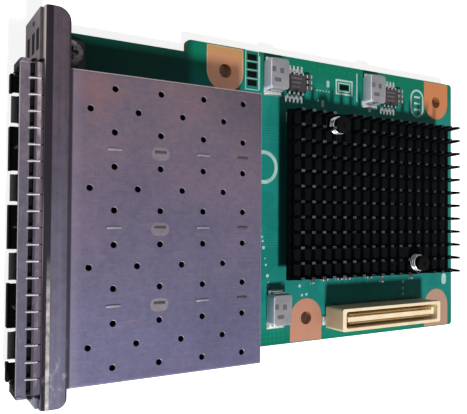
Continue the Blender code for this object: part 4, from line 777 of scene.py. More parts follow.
class Bench:
    """A mesh under construction. Shapes are added in metres.

    A shape's finish is its place in the list of finishes that the piece gets. Rounding is a fillet's width.
    """

    def __init__(self) -> None:
        """Starts an empty mesh."""
        self.mesh = bmesh.new()

    def paint(self, verts: Verts, finish: int) -> None:
        """Gives every face at these points one finish."""
        for face in {face for vert in verts for face in vert.link_faces}:
            face.material_index = finish

    def bevel(self, edges: Iterable[bmesh.types.BMEdge], offset: float, segments: int = 2) -> None:
        """Rounds edges over this width, in this many faces."""
        bmesh.ops.bevel(
            self.mesh, geom=list(edges), offset=offset, segments=segments, profile=0.5, affect="EDGES", material=-1
        )

    def outward(self) -> None:
        """Turns every face outwards."""
        bmesh.ops.recalc_face_normals(self.mesh, faces=self.mesh.faces)

    def hand_over(self, name: str) -> bpy.types.Object:
        """Makes the mesh an object in the scene, and starts an empty one.

        Args:
            name: The object's name.

        Returns:
            The object.
        """
        data = bpy.data.meshes.new(name)
        self.mesh.to_mesh(data)
        self.mesh.clear()
        return link(name, data)

    def block(
        self, centre: Vector, size: Sequence[float], finish: int = 0, fillet: float = 0.0, turn: float = 0.0
    ) -> list[bmesh.types.BMVert]:
        """Adds a block.

        Args:
            centre: Its middle.
            size: Its length along X, Y and Z.
            finish: Its finish.
            fillet: The rounding of all its edges.
            turn: Rotation round Z in radians.

        Returns:
            Its corner points, where it has no fillet.
        """
        matrix = Matrix.Translation(centre) @ Matrix.Rotation(turn, 4, "Z") @ Matrix.Diagonal((*size, 1))
        made = bmesh.ops.create_cube(self.mesh, size=1, matrix=matrix)["verts"]
        self.paint(made, finish)
        if not fillet:
            return made
        self.bevel(edges_of(made), fillet)
        return []

    def slab(
        self, centre: Vector, size: Sequence[float], radius: float, finish: int = 0, round_ends: Sequence[int] = BOTH
    ) -> None:
        """Adds a block whose upright edges are rounded.

        Args:
            centre: Its middle.
            size: Its length along X, Y and Z.
            radius: The rounding's radius.
            finish: Its finish.
            round_ends: Which Y ends are rounded.
        """
        upright = edges_of(self.block(centre, size, finish), upright=True)
        chosen = [edge for edge in upright if (1 if edge.verts[0].co.y > centre.y else -1) in round_ends]
        self.bevel(chosen, radius, 8)

    def mound(self, foot: Vector, size: Sequence[float], finish: int = 0, shrink: float = 0.6) -> None:
        """Adds a solder mound: a block whose top is drawn in and rounded.

        Args:
            foot: The middle of its base.
            size: Its length along X, Y and Z.
            finish: Its finish.
            shrink: The top's size as a share of the base's.
        """
        half = size[2] / 2
        made = self.block(foot + Vector((0, 0, half)), size, finish)
        top = [vert for vert in made if vert.co.z > foot.z + half]
        pivot = Matrix.Translation((-foot.x, -foot.y, 0))
        bmesh.ops.scale(self.mesh, vec=(shrink, shrink, 1), space=pivot, verts=top)
        self.bevel(edges_of(top), 0.25 * min(size))

    def bar(self, start: Vector, end: Vector, radius: float, finish: int = 0, sides: int = 8) -> None:
        """Adds a round bar.

        Args:
            start: The middle of one end, which is the lower one if the bar is upright.
            end: The middle of the other end.
            radius: Its radius.
            finish: Its finish.
            sides: How many sides it has.
        """
        run = end - start
        turn = run.to_track_quat("Z", "X").to_matrix().to_4x4() if run.xy.length else Matrix()
        place = Matrix.Translation((start + end) / 2) @ turn
        made = bmesh.ops.create_cone(
            self.mesh, cap_ends=True, segments=sides, radius1=radius, radius2=radius, depth=run.length, matrix=place
        )
        self.paint(made["verts"], finish)

    def rod(self, foot: Vector, height: float, radius: float, finish: int = 0, sides: int = 8) -> None:
        """Adds an upright bar on its foot."""
        self.bar(foot, foot + Vector((0, 0, height)), radius, finish, sides)

    def turned(self, x: float, y: float, profile: Sequence[Point], sides: int = 32, closed: bool = False) -> None:
        """Adds a solid turned round an upright axis.

        Args:
            x: The axis along X.
            y: The axis along Y.
            profile: (radius, height) points. They start and end on the axis, or close on themselves.
            sides: Steps of the full turn.
            closed: Whether the profile closes on itself.
        """
        line = [self.mesh.verts.new((x + radius, y, height)) for radius, height in profile]
        ends = line[1:] + line[:1] if closed else line[1:]
        edges = [self.mesh.edges.new(pair) for pair in zip(line, ends)]
        before = set(self.mesh.faces)
        bmesh.ops.spin(
            self.mesh, geom=line + edges, cent=(x, y, 0), axis=(0, 0, 1), dvec=(0, 0, 0), angle=2 * math.pi,
            steps=sides, use_merge=True,
        )
        made = {vert for face in self.mesh.faces if face not in before for vert in face.verts}
        bmesh.ops.remove_doubles(self.mesh, verts=list(made), dist=1e-7)

    def coil(self, foot: Vector, radius: float, wire: float, height: float, turns: float) -> None:
        """Adds a coil of wire with closed ends.

        Args:
            foot: The middle of its lowest turn.
            radius: The radius of the wire's middle line.
            wire: The wire's radius.
            height: How far the wire's middle line climbs.
            turns: How many turns it makes.
        """
        steps = round(20 * turns)
        start = Matrix.Translation(foot + Vector((radius, 0, 0))) @ Matrix.Rotation(math.pi / 2, 4, "X")
        ring = bmesh.ops.create_circle(self.mesh, segments=10, radius=wire, matrix=start)["verts"]
        bmesh.ops.spin(
            self.mesh, geom=ring + list(edges_of(ring)), cent=(foot.x, foot.y, 0), axis=(0, 0, 1),
            dvec=(0, 0, height / steps), angle=2 * math.pi * turns, steps=steps,
        )
        bmesh.ops.holes_fill(self.mesh, edges=[edge for edge in self.mesh.edges if edge.is_boundary], sides=0)

    def strip(self, route: Sequence[Vector], width: float, height: float) -> None:
        """Adds a flat track along a route, with round turns.

        Args:
            route: Its points at mid height.
            width: Its width.
            height: Its thickness.
        """
        for start, end in zip(route, route[1:]):
            run = end - start
            self.block((start + end) / 2, (run.length, width, height), turn=math.atan2(run.y, run.x))
        for point in route[1:-1]:
            self.rod(point - Vector((0, 0, height / 2)), height, width / 2)

    def frame_line(self, centre: Vector, size: Point, width: float, height: float) -> None:
        """Adds a rectangle drawn as a line.

        Args:
            centre: Its middle.
            size: Its outer length along X and Y.
            width: The line's width.
            height: The line's thickness.
        """
        x, y = (size[0] - width) / 2, (size[1] - width) / 2
        for side in BOTH:
            self.block(centre + Vector((0, side * y, 0)), (size[0], width, height))
            self.block(centre + Vector((side * x, 0, 0)), (width, 2 * y - width, height))

    def cut(self, other: "Bench") -> None:
        """Takes another bench's shape out of this one.

        Args:
            other: The cutter, which is used up.
        """
        for bench in (self, other):
            bench.outward()
        host, cutter = self.hand_over("cut"), other.hand_over("cutter")
        step = host.modifiers.new("cut", "BOOLEAN")
        step.operation, step.solver, step.use_self, step.object = "DIFFERENCE", "EXACT", True, cutter
        graph = bpy.context.evaluated_depsgraph_get()
        result = bpy.data.meshes.new_from_object(host.evaluated_get(graph))
        self.mesh.from_mesh(result)
        for used in (host.data, cutter.data, result):
            bpy.data.meshes.remove(used)


class Workshop:
    """Turns benches into finished pieces that ride on the card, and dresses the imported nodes."""

    def piece(
        self, name: str, bench: Bench, finishes: Sequence[Finish], nodes: Sequence[str] = (), smooth: float = 35.0
    ) -> None:
        """Makes a piece.

        Args:
            name: The piece's name.
            bench: Its mesh, which is used up.
            finishes: Its finishes, in the order that the bench painted them.
            nodes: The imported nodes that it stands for.
            smooth: The angle up to which its edges are shaded round, in degrees.
        """
        bench.outward()
        made = bench.hand_over(name)
        for finish in finishes:
            made.data.materials.append(finish.material())
        made.data.shade_smooth()
        made.data.set_sharp_from_angle(angle=math.radians(smooth))
        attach(made, BODY)
        if nodes:
            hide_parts(*nodes)
        log.info("%s: %d faces", name, len(made.data.polygons))

    def dress(self, finish: Finish, *nodes: str) -> None:
        """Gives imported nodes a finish.

        Args:
            finish: The finish.
            nodes: The nodes' names.
        """
        for node in nodes:
            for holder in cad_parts[node].material_slots:
                holder.material = finish.material()
            log.info("%s: %s", node, finish.name)

    def family(self, stem: str) -> list[str]:
        """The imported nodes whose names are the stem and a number, in order."""
        count = sum(name.rpartition("_")[0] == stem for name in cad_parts)
        return [f"{stem}_{number}" for number in range(1, count + 1)]


@dataclass(frozen=True)
class Card:
    """The card's datum lines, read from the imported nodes."""

    front: float
    middle: float
    board_low: float
    board_top: float
    land_rise: float

    @classmethod
    def measured(cls, land_rise: float = 0.05 * MM) -> "Card":
        """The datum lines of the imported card.

        Args:
            land_rise: How far the screw lands stand above the board.

        Returns:
            The card's datum lines.
        """
        cage_low, cage_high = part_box("cage_base")
        board_low, board_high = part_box("circuit_board")
        return cls(
            front=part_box("emi_gasket")[0].x,
            middle=(cage_low.y + cage_high.y) / 2,
            board_low=board_low.z,
            board_top=board_high.z - land_rise,
            land_rise=land_rise,
        )

    def at(self, x: float, y: float, z: float) -> Vector:
        """A place given from the cage's mouth, from its centre line and by its height in the frame."""
        return Vector((self.front + x, self.middle + y, z))

    def on(self, x: float, y: float, rise: float = 0.0, side: Side = Side.TOP) -> Vector:
        """A place on the board.

        Args:
            x: From the mouth of the cage.
            y: From the cage's centre line.
            rise: Away from the board's face.
            side: The face.

        Returns:
            The point in the frame.
        """
        return self.at(x, y, self.board_top + rise if side is Side.TOP else self.board_low - rise)


@dataclass
class Studio:
    """The photograph's camera, a pale floor and soft lamps."""

    camera_place: Triple = mm(-78.443, -3.0265, 117.860)
    camera_turns: Triple = (1.25566, -30.23867, 0.406496)
    lens: float = 46.156
    sensor: float = 36.0
    key_elevation: float = 49.0
    key_distance: float = 1.2
    key_size: float = 0.17
    key_watts: float = 17.9
    fill_place: Triple = (-0.9, 0.15, 0.5)
    fill_watts: float = 1.6
    fill_size: float = 0.7
    lamp_colour: Colour = (1.0, 0.99, 0.98)
    white: Colour = (1.0, 1.0, 1.0)
    ambient: float = 0.06
    paper: Colour = (0.86, 0.86, 0.86)
    floor_size: float = 6.0
    floor_lift: float = 0.8
    floor_fade: float = 1.5 * MM
    under_card: tuple[tuple[Point, Point], ...] = (
        (mm(-57.0, 61.0), mm(-32.5, 26.5)),
        (mm(-21.0, 61.0), mm(20.0, 34.5)),
    )

    def build(self) -> None:
        """Sets up the camera, the world, the lamps and the floor."""
        self.set_camera()
        self.set_world()
        self.set_lamps()
        self.set_floor()
        bpy.context.scene.view_settings.view_transform = "Standard"

    def set_camera(self) -> None:
        """Places the camera where the photograph was taken from."""
        data = bpy.data.cameras.new("camera")
        data.lens = self.lens
        data.sensor_width = self.sensor
        data.clip_start = 0.01
        camera = link("camera", data)
        about_x, about_y, about_z = (math.radians(turn) for turn in self.camera_turns)
        turned = Matrix.Rotation(about_y, 4, "Y") @ Matrix.Rotation(about_x, 4, "X") @ Matrix.Rotation(about_z, 4, "Z")
        camera.matrix_world = Matrix.Translation(self.camera_place) @ turned
        bpy.context.scene.camera = camera

    def seen_share(self, graph: Graph) -> Value:
        """The rays that see plain white, which are camera, glossy and transmission rays.

        Args:
            graph: The graph to add to.

        Returns:
            1 for those rays and 0 for others.
        """
        path = graph.tree.nodes.new("ShaderNodeLightPath").outputs
        kinds = ("Is Camera Ray", "Is Glossy Ray", "Is Transmission Ray")
        seen, glossy, through = (Value(graph, path[kind]) for kind in kinds)
        return seen | glossy | through

    def set_world(self) -> None:
        """A white surround that gives the object a soft ambient light."""
        world = bpy.data.worlds.new("surround")
        world.use_nodes = True
        bpy.context.scene.world = world
        graph = Graph(world.node_tree)
        shares = {"Value": self.seen_share(graph), "To Min": self.ambient}
        graph.set(Color=self.white, Strength=graph.node("ShaderNodeMapRange", "Result", shares))

    def lamp(self, name: str, place: Vector, size: float, watts: float) -> None:
        """Adds a square soft lamp that faces the card.

        Args:
            name: Its name.
            place: Where it stands.
            size: The length of its side.
            watts: Its power.
        """
        data = bpy.data.lights.new(name, "AREA")
        data.size = size
        data.energy = watts
        data.color = self.lamp_colour
        made = link(name, data)
        made.location = place
        made.rotation_mode = "QUATERNION"
        made.rotation_quaternion = (-place).to_track_quat("-Z", "Y")

    def set_lamps(self) -> None:
        """A key lamp on the connector's side and a wide, low fill before the ports."""
        height = math.radians(self.key_elevation)
        key = self.key_distance * Vector((0, -math.cos(height), math.sin(height)))
        self.lamp("key_lamp", key, self.key_size, self.key_watts)
        self.lamp("fill_lamp", Vector(self.fill_place), self.fill_size, self.fill_watts)

    def clear_of_card(self, graph: Graph) -> Value:
        """The floor's lift: whole beside the card and none under it, where no light comes in.

        Args:
            graph: The graph to add to.

        Returns:
            The lift.
        """
        patches = []
        for patch in self.under_card:
            across, along = (
                abs(graph.axis(axis) - (low + high) / 2).window((high - low) / 2 - self.floor_fade, (high - low) / 2)
                for axis, (low, high) in zip("XY", patch)
            )
            patches.append(across | along)
        return (patches[0] & patches[1]) * self.floor_lift

    def set_floor(self) -> None:
        """A plain pale floor that keeps the card's shadow."""
        bench = Bench()
        bmesh.ops.create_grid(bench.mesh, x_segments=1, y_segments=1, size=self.floor_size / 2)
        material = bpy.data.materials.new("floor_paper")
        material.use_nodes = True
        graph = Graph(material.node_tree)
        graph.set(Base_Color=self.paper, Roughness=0.9, Specular_IOR_Level=0.1, Emission_Color=self.white)
        graph.set(Emission_Strength=self.seen_share(graph) * self.clear_of_card(graph))
        floor = bench.hand_over("floor")
        floor.data.materials.append(material)


@dataclass
class Board:
    """The circuit board's finish, copper lands, tracks, vias and silkscreen. Its tables are in millimetres."""

    card: Card
    shop: Workshop
    left_edge: float = 40.0 * MM
    right_edge: float = -27.11 * MM
    edge_margin: float = 0.25 * MM
    holes: tuple[tuple[float, float, int], ...] = (
        (45.0, 34.4, 1), (111.85, 34.4, 1), (67.45, -21.51, -1), (111.85, -21.51, -1)
    )
    hole_radius: float = 1.6 * MM
    hole_wall: float = 0.06 * MM
    land_radius: float = 4.6 * MM
    copper_rise: float = 0.02 * MM
    copper_lap: float = 0.02 * MM
    rim_width: float = 0.22 * MM
    through: float = 1.0 * MM
    track_width: float = 0.22 * MM
    track_rise: float = 0.015 * MM
    via_rise: float = 0.025 * MM
    ink_rise: float = 0.02 * MM
    ink_line: float = 0.13 * MM
    outlines: tuple[tuple[float, ...], ...] = (
        (52.0, 35.5, 3.6, 9.0, 1.4), (79.05, 34.7, 5.5, 3.8, 3.4), (79.05, 34.7, 3.9, 2.3, 2.2)
    )
    strokes: tuple[Triple, ...] = ((53.95, 31.2, 38.9), (83.2, 31.6, 38.8), (61.6, 24.6, 26.9))
    ring_mark: tuple[float, ...] = (55.3, 13.7, 3.85, 3.0)
    oval_mark: Point = (104.6, 33.4)
    dots: tuple[Triple, ...] = (
        (62.6, 21.9, 0.35), (65.6, -13.9, 0.4), (66.3, -16.1, 0.3), (67.6, -16.0, 0.3), (60.6, -13.2, 0.3),
        (99.4, -14.4, 0.4), (99.4, -16.1, 0.35), (99.4, -17.6, 0.35), (70.9, 30.6, 0.3), (99.2, 26.0, 0.3),
    )
    lozenges: tuple[Point, ...] = ((73.9, 35.0), (85.2, 31.2), (87.5, 30.2), (72.3, 30.0))

    def build(self) -> None:
        """Dresses the board and adds its copper and ink."""
        self.shop.dress(MASK, "circuit_board")
        for number, (x, y, toward) in enumerate(self.holes, start=1):
            self.land(f"copper_land_{number}", x * MM, y * MM, toward)
        self.tracks()
        self.vias()
        self.silkscreen()

    def land(self, name: str, x: float, y: float, toward: int) -> None:
        """A screw land on both faces, joined by the hole's plated wall.

        Args:
            name: The piece's name.
            x: The hole's middle on the card.
            y: The hole's middle on the card.
            toward: 1 where the land runs to the +Y edge and -1 where it runs to the other.
        """
        edge = self.left_edge - self.edge_margin if toward > 0 else self.right_edge + self.edge_margin
        bench, drill = Bench(), Bench()
        for side in Side:
            rise = (self.card.land_rise if side is Side.TOP else 0.0) + self.copper_rise
            for lap, high, finish in ((self.copper_lap, rise, 1), (-self.rim_width, rise + 0.01 * MM, 0)):
                radius = self.land_radius + lap
                length = abs(edge + toward * lap - y) + radius
                centre = self.card.on(x, edge + toward * (lap - length / 2), high / 2, side)
                bench.slab(centre, (2 * radius, length, high), 0.99 * radius, finish, (-toward,))
        spot = self.card.on(x, y, self.through)
        low, high = self.card.board_low, self.card.board_top
        foot = Vector((spot.x, spot.y, low - self.through))
        drill.rod(foot, high - low + 2 * self.through, self.hole_radius, sides=32)
        bench.cut(drill)
        inner, outer = self.hole_radius - self.hole_wall, self.hole_radius
        under, over = low - self.copper_rise, high + self.card.land_rise + self.copper_rise
        bench.turned(spot.x, spot.y, [(inner, under), (outer, under), (outer, over), (inner, over)], closed=True)
        self.shop.piece(name, bench, [COPPER, COPPER_RIM])

    def routes(self) -> Iterator[list[Point]]:
        """The tracks' routes between the cage, the chip and the connector.

        Returns:
            Each route's points on the card, in millimetres.
        """
        for lane in range(14):
            first, jog = (20.5, 2.4) if lane < 7 else (4.5, -1.8)
            y = first - 0.55 * lane
            yield [(49.6, y), (52.8, y), (52.8 + abs(jog), y + jog), (62.0, y + jog)]
        for lane in range(18):
            x = 75.5 + 1.15 * lane
            end = x + (0.9 if lane % 2 else -0.5)
            yield [(x, -18.8), (x, -16.2), (end, -14.6), (end, -12.0)]
        for lane in range(6):
            y = 31.4 + 0.6 * lane
            yield [(68.4, y), (73.0, y), (74.6, y - 1.6), (84.6, y - 1.6)]

    def tracks(self) -> None:
        """Masked tracks on both faces."""
        bench = Bench()
        for side in Side:
            for route in self.routes():
                points = [self.card.on(x * MM, y * MM, self.track_rise / 2, side) for x, y in route]
                bench.strip(points, self.track_width, self.track_rise)
        self.shop.piece("masked_tracks", bench, [TRACE_MASK])

    def via_places(self) -> Iterator[Triple]:
        """The vias beside the cage, round the inductors and under the connector.

        Returns:
            Each via's place on the card and its radius, in millimetres.
        """
        for column in range(9):
            for row in range(4):
                yield 51.6 + 1.15 * column, -26.0 + 1.05 * row, 0.27
        for column in range(9):
            yield 51.0 + 0.95 * column, 27.6, 0.27
            yield 51.4 + 0.95 * column, 26.4, 0.27
        for row in range(12):
            yield 50.9, -13.5 + 1.3 * row, 0.27
            yield 56.5 + 0.4 * (row % 3), -12.0 + 1.7 * row, 0.22
        for column in range(16):
            yield 70.6 + 2.1 * column, -16.4 + 0.5 * (column % 3), 0.22
            yield 69.5 + 1.9 * column, 38.6 - 0.4 * (column % 2), 0.22
        for row in range(7):
            yield 116.9, -9.0 + 5.4 * row, 0.25

    def vias(self) -> None:
        """Masked vias on both faces, each with its dimple painted darker."""
        bench = Bench()
        rise = self.via_rise
        for x, y, radius in self.via_places():
            for side in Side:
                spot = self.card.on(x * MM, y * MM, rise / 2, side)
                dimple = self.card.on(x * MM, y * MM, 0.6 * rise, side)
                bench.rod(spot - Vector((0, 0, rise / 2)), rise, radius * MM)
                bench.rod(dimple - Vector((0, 0, 0.6 * rise)), 1.2 * rise, 0.4 * radius * MM, 1, 6)
        self.shop.piece("masked_vias", bench, [VIA_MASK, MASK])

    def inked(self, x: float, y: float, rise: float | None = None) -> Vector:
        """A place at mid height of the ink, given on the card in millimetres."""
        return self.card.on(x * MM, y * MM, self.ink_rise / 2 if rise is None else rise)

    def silkscreen(self) -> None:
        """Plain outlines, polarity marks and dots. No letters, numbers or names."""
        bench = Bench()
        line, rise = self.ink_line, self.ink_rise
        for x, y, length, width, weight in self.outlines:
            bench.frame_line(self.inked(x, y), mm(length, width), weight * line, rise)
        bench.block(self.inked(*self.outlines[-1][:2]), (*mm(2.9, 1.3), rise), 1)
        for grow, finish in ((0.0, 0), (0.55, 2)):
            size = (*mm(5.0 - 2 * grow, 7.6 - 2 * grow), rise * (1 + grow))
            bench.slab(self.inked(*self.oval_mark, size[2] / 2), size, 0.49 * size[0], finish)
        for row in range(4):
            centre = self.inked(52.0, 32.6 + 1.95 * row)
            bench.block(centre, (*mm(2.5, 1.35), rise), 1)
            if row:
                bench.block(centre - Vector((0, 0.97 * MM, 0)), (3.2 * MM, line, rise))
        bench.slab(self.inked(115.1, -14.3), (*mm(1.8, 3.0), rise), 0.88 * MM)
        for row in range(3):
            bench.block(self.inked(self.oval_mark[0], 31.7 + 1.7 * row, 0.9 * rise), (*mm(2.2, 0.55), 1.8 * rise))
        for x, low, high in self.strokes:
            bench.block(self.inked(x, (low + high) / 2), (2.6 * line, (high - low) * MM, rise))
        x, y, outer, inner = self.ring_mark
        spot = self.inked(x, y, 0.0)
        low, high = spot.z, spot.z + rise
        profile = [(inner * MM, low), (outer * MM, low), (outer * MM, high), (inner * MM, high)]
        bench.turned(spot.x, spot.y, profile, 40, closed=True)
        for x, y, radius in (*self.specks(), *self.dots):
            bench.rod(self.inked(x, y, 0.0), rise, radius * MM, sides=16)
        for x, y in self.lozenges:
            bench.slab(self.inked(x, y), (*mm(0.9, 1.7), rise), 0.4 * MM)
        for column in range(5):
            bench.block(self.inked(70.6 + 0.9 * column, 33.1), (*mm(0.5, 0.28), rise))
        self.shop.piece("silkscreen", bench, [SILKSCREEN, PIN_PLASTIC, MASK])

    def specks(self) -> Iterator[Triple]:
        """Specks of ink beside the cage, spread by two shares of the golden section and clear of the ring.

        Returns:
            Each speck's place on the card and its radius, in millimetres.
        """
        for speck in range(26):
            x, y = 50.4 + 7.6 * (0.618 * speck % 1), -20.0 + 44.0 * (0.382 * speck % 1)
            if math.hypot(x - self.ring_mark[0], y - self.ring_mark[1]) > 4.3:
                yield x, y, 0.16 + 0.12 * (speck % 3)


@dataclass
class Cage:
    """The cage, its dividers, base and gasket, and the sockets inside it."""

    card: Card
    shop: Workshop
    port_count: int = 4
    port_pitch: float = 14.25 * MM
    half_width: float = 28.25 * MM
    half_notch: float = 3.1 * MM
    contact_count: int = 10
    contact_pitch: float = 0.8 * MM
    contact_size: Triple = mm(3.4, 0.38, 0.12)
    contact_place: float = 2.6 * MM
    contact_gap: float = 0.5 * MM
    socket_height: float = 3.9 * MM
    tab_columns: int = 4
    first_tab: float = 16.75 * MM
    tab_pitch: float = 9.1 * MM
    tab_size: Triple = mm(1.44, 1.04, 0.26)
    stake_size: Triple = mm(2.8, 0.42, 0.22)
    slot_size: Triple = mm(2.3, 0.44, 0.22)
    halo_size: Triple = mm(3.7, 2.5, 0.016)
    vent_radius: float = 0.64 * MM
    vent_columns: int = 8
    first_vent: float = 12.2 * MM
    vent_pitch: float = 4.55 * MM
    vent_spread: float = 3.975 * MM
    burr: float = 0.085 * MM
    finger_count: int = 20
    rib_route: tuple[Point, ...] = (mm(1.35, -0.03), mm(2.35, 0.36), mm(2.8, 0.5), mm(3.3, 0.43))
    rib_radius: float = 0.15 * MM
    corner_size: Triple = mm(1.2, 0.9, 1.4)
    tip_size: Triple = mm(1.3, 4.9, 0.3)

    def build(self) -> None:
        """Dresses the cage's nodes, gilds the sockets' contacts and adds the cage's small forms."""
        self.shop.dress(CAGE_STEEL, "cage_cover", *self.shop.family("cage_divider"))
        self.shop.dress(LATCH_STEEL, "cage_base")
        self.shop.dress(SPRING_BRONZE, "emi_gasket", *self.shop.family("lower_gasket"))
        self.shop.dress(BLACK_PLASTIC, *self.shop.family("port_connector"))
        self.gild()
        self.close_slots()
        self.rim_vents()
        self.rungs()
        self.lips()
        self.latch_tips()

    def ports(self) -> list[float]:
        """The ports' middles, from the cage's centre line."""
        return [(port - (self.port_count - 1) / 2) * self.port_pitch for port in range(self.port_count)]

    def gild(self) -> None:
        """Adds the contact tips in the sockets' slots."""
        bench = Bench()
        slot = self.card.board_top + self.socket_height
        for socket in self.shop.family("port_connector"):
            low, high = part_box(socket)
            for contact in range(self.contact_count):
                y = (low.y + high.y) / 2 + (contact - (self.contact_count - 1) / 2) * self.contact_pitch
                for side in BOTH:
                    centre = Vector((low.x + self.contact_place, y, slot + side * self.contact_gap))
                    bench.block(centre, self.contact_size, fillet=0.03 * MM)
        self.shop.piece("socket_contacts", bench, [GOLD])

    def close_slots(self) -> None:
        """Stakes the dividers' tabs over their slots, with a stamped halo round the second column's."""
        bench = Bench()
        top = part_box("cage_cover")[1].z
        for divider in self.shop.family("cage_divider"):
            low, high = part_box(divider)
            middle = (low.y + high.y) / 2
            for column in range(self.tab_columns):
                x = self.card.front + self.first_tab + column * self.tab_pitch
                bench.block(Vector((x, middle, top - 0.16 * MM)), self.tab_size)
                stake = Vector((x, middle, high.z - 0.09 * MM))
                size, finish = (self.slot_size, 3) if column % 2 else (self.stake_size, 1)
                bench.block(stake, size, finish, 0.05 * MM)
                if column == 1:
                    bench.slab(Vector((x, middle - 0.3 * MM, top)), self.halo_size, 1.2 * MM, 2)
        self.shop.piece("staked_tabs", bench, [CAGE_STEEL, CAGE_RIM, STAMP, STAMP_DARK])

    def rim_vents(self) -> None:
        """Gives each vent hole a raised burr on one side only, in a paler finish, as a painted highlight of its lit
        edge.
        """
        bench = Bench()
        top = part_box("cage_cover")[1].z - 0.05 * MM
        for middle in self.ports():
            for column in range(self.vent_columns):
                for aside in (-self.vent_spread, self.vent_spread) if column % 2 else (0.0,):
                    foot = self.card.at(self.first_vent + column * self.vent_pitch, middle + aside, top)
                    bench.coil(foot, self.vent_radius, self.burr, 0.0, 0.3)
        self.shop.piece("vent_burr_highlights", bench, [CAGE_RIM])

    def rungs(self) -> None:
        """Adds pale ribs between the gasket's fingers as painted highlights, and a black block as painted shade in the
        corner.
        """
        bench = Bench()
        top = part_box("emi_gasket")[1].z - 0.5 * MM
        for finger in range(1, self.finger_count):
            y = (2 * finger / self.finger_count - 1) * self.half_width
            points = [self.card.at(x, y, top + rise) for x, rise in self.rib_route]
            for start, end in zip(points, points[1:]):
                bench.bar(start, end, self.rib_radius)
        corner = self.card.at(4.0 * MM, -self.half_width - 0.2 * MM, top - 0.9 * MM)
        bench.block(corner, self.corner_size, 1)
        self.shop.piece("gasket_ribs", bench, [RUNG_HIGHLIGHT, SHADED_BRONZE])

    def lips(self) -> None:
        """Adds the fold by which each lower strip of the gasket grips the base sheet's front edge, black as painted
        shade.
        """
        bench = Bench()
        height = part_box("cage_base")[0].z - 0.1 * MM
        reach = self.half_width - 0.3 * MM
        starts = [-reach] + [port + self.half_notch for port in self.ports()]
        ends = [port - self.half_notch for port in self.ports()] + [reach]
        for start, end in zip(starts, ends):
            centre = self.card.at(0.3 * MM, (start + end) / 2, height)
            bench.block(centre, (0.6 * MM, end - start, 1.7 * MM), fillet=0.1 * MM)
        self.shop.piece("gasket_lips", bench, [SHADED_BRONZE])

    def latch_tips(self) -> None:
        """Adds the bent tip of each latch tongue."""
        bench = Bench()
        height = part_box("cage_base")[0].z + 0.65 * MM
        for middle in self.ports():
            bench.block(self.card.at(0.8 * MM, middle, height), self.tip_size, fillet=0.08 * MM)
        self.shop.piece("latch_tips", bench, [LATCH_TIP])


@dataclass
class FacePlate:
    """The face plate and the screw that holds its foot."""

    card: Card
    shop: Workshop
    wall: float = 3.3 * MM
    slot_place: float = 33.0 * MM
    slot_heights: Triple = mm(2.75, 6.85, 10.4)
    slot_size: Triple = mm(0.03, 3.8, 2.1)
    head_radius: float = 2.5 * MM
    head_height: float = 1.5 * MM
    dome: float = 0.8 * MM
    recess: Point = mm(2.7, 0.72)
    recess_depth: float = 0.9 * MM
    shank: float = 1.12 * MM
    crest: float = 1.25 * MM
    thread_pitch: float = 0.5 * MM

    def build(self) -> None:
        """Dresses the plate, makes its screw, and covers its slots with black plates larger than them as painted shade.
        """
        self.shop.dress(PLATE_STEEL, "face_plate")
        self.screw()
        bench = Bench()
        for height in self.slot_heights:
            bench.block(self.card.at(self.wall, self.slot_place, height), self.slot_size)
        self.shop.piece("slot_shade_plates", bench, [SHADED_BRONZE])

    def screw(self) -> None:
        """A pan-head screw with a cross recess and a threaded shank."""
        low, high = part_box("bracket_screw")
        x, y = (low.x + high.x) / 2, (low.y + high.y) / 2
        seat, radius, edge = high.z - self.head_height, self.head_radius, 0.15 * MM
        profile = [(0.0, low.z), (0.7 * self.shank, low.z)]
        for turn in range(int((seat - low.z) / self.thread_pitch) - 1):
            foot = low.z + 0.3 * MM + turn * self.thread_pitch
            profile += [(self.shank, foot), (self.crest, foot + self.thread_pitch / 2)]
        profile += [(self.shank, seat), (radius - edge, seat), (radius, seat + edge)]
        shoulder = seat + self.head_height - self.dome
        for turn in map(math.radians, range(0, 90, 15)):
            profile.append((radius * math.cos(turn), shoulder + self.dome * math.sin(turn)))
        profile.append((0.0, shoulder + self.dome))
        bench, recess = Bench(), Bench()
        bench.turned(x, y, profile)
        length, width = self.recess
        for across, along in ((length, width), (width, length)):
            recess.block(Vector((x, y, high.z)), (across, along, 2 * self.recess_depth))
        bench.cut(recess)
        self.shop.piece("screw", bench, [SCREW_STEEL], ["bracket_screw"])


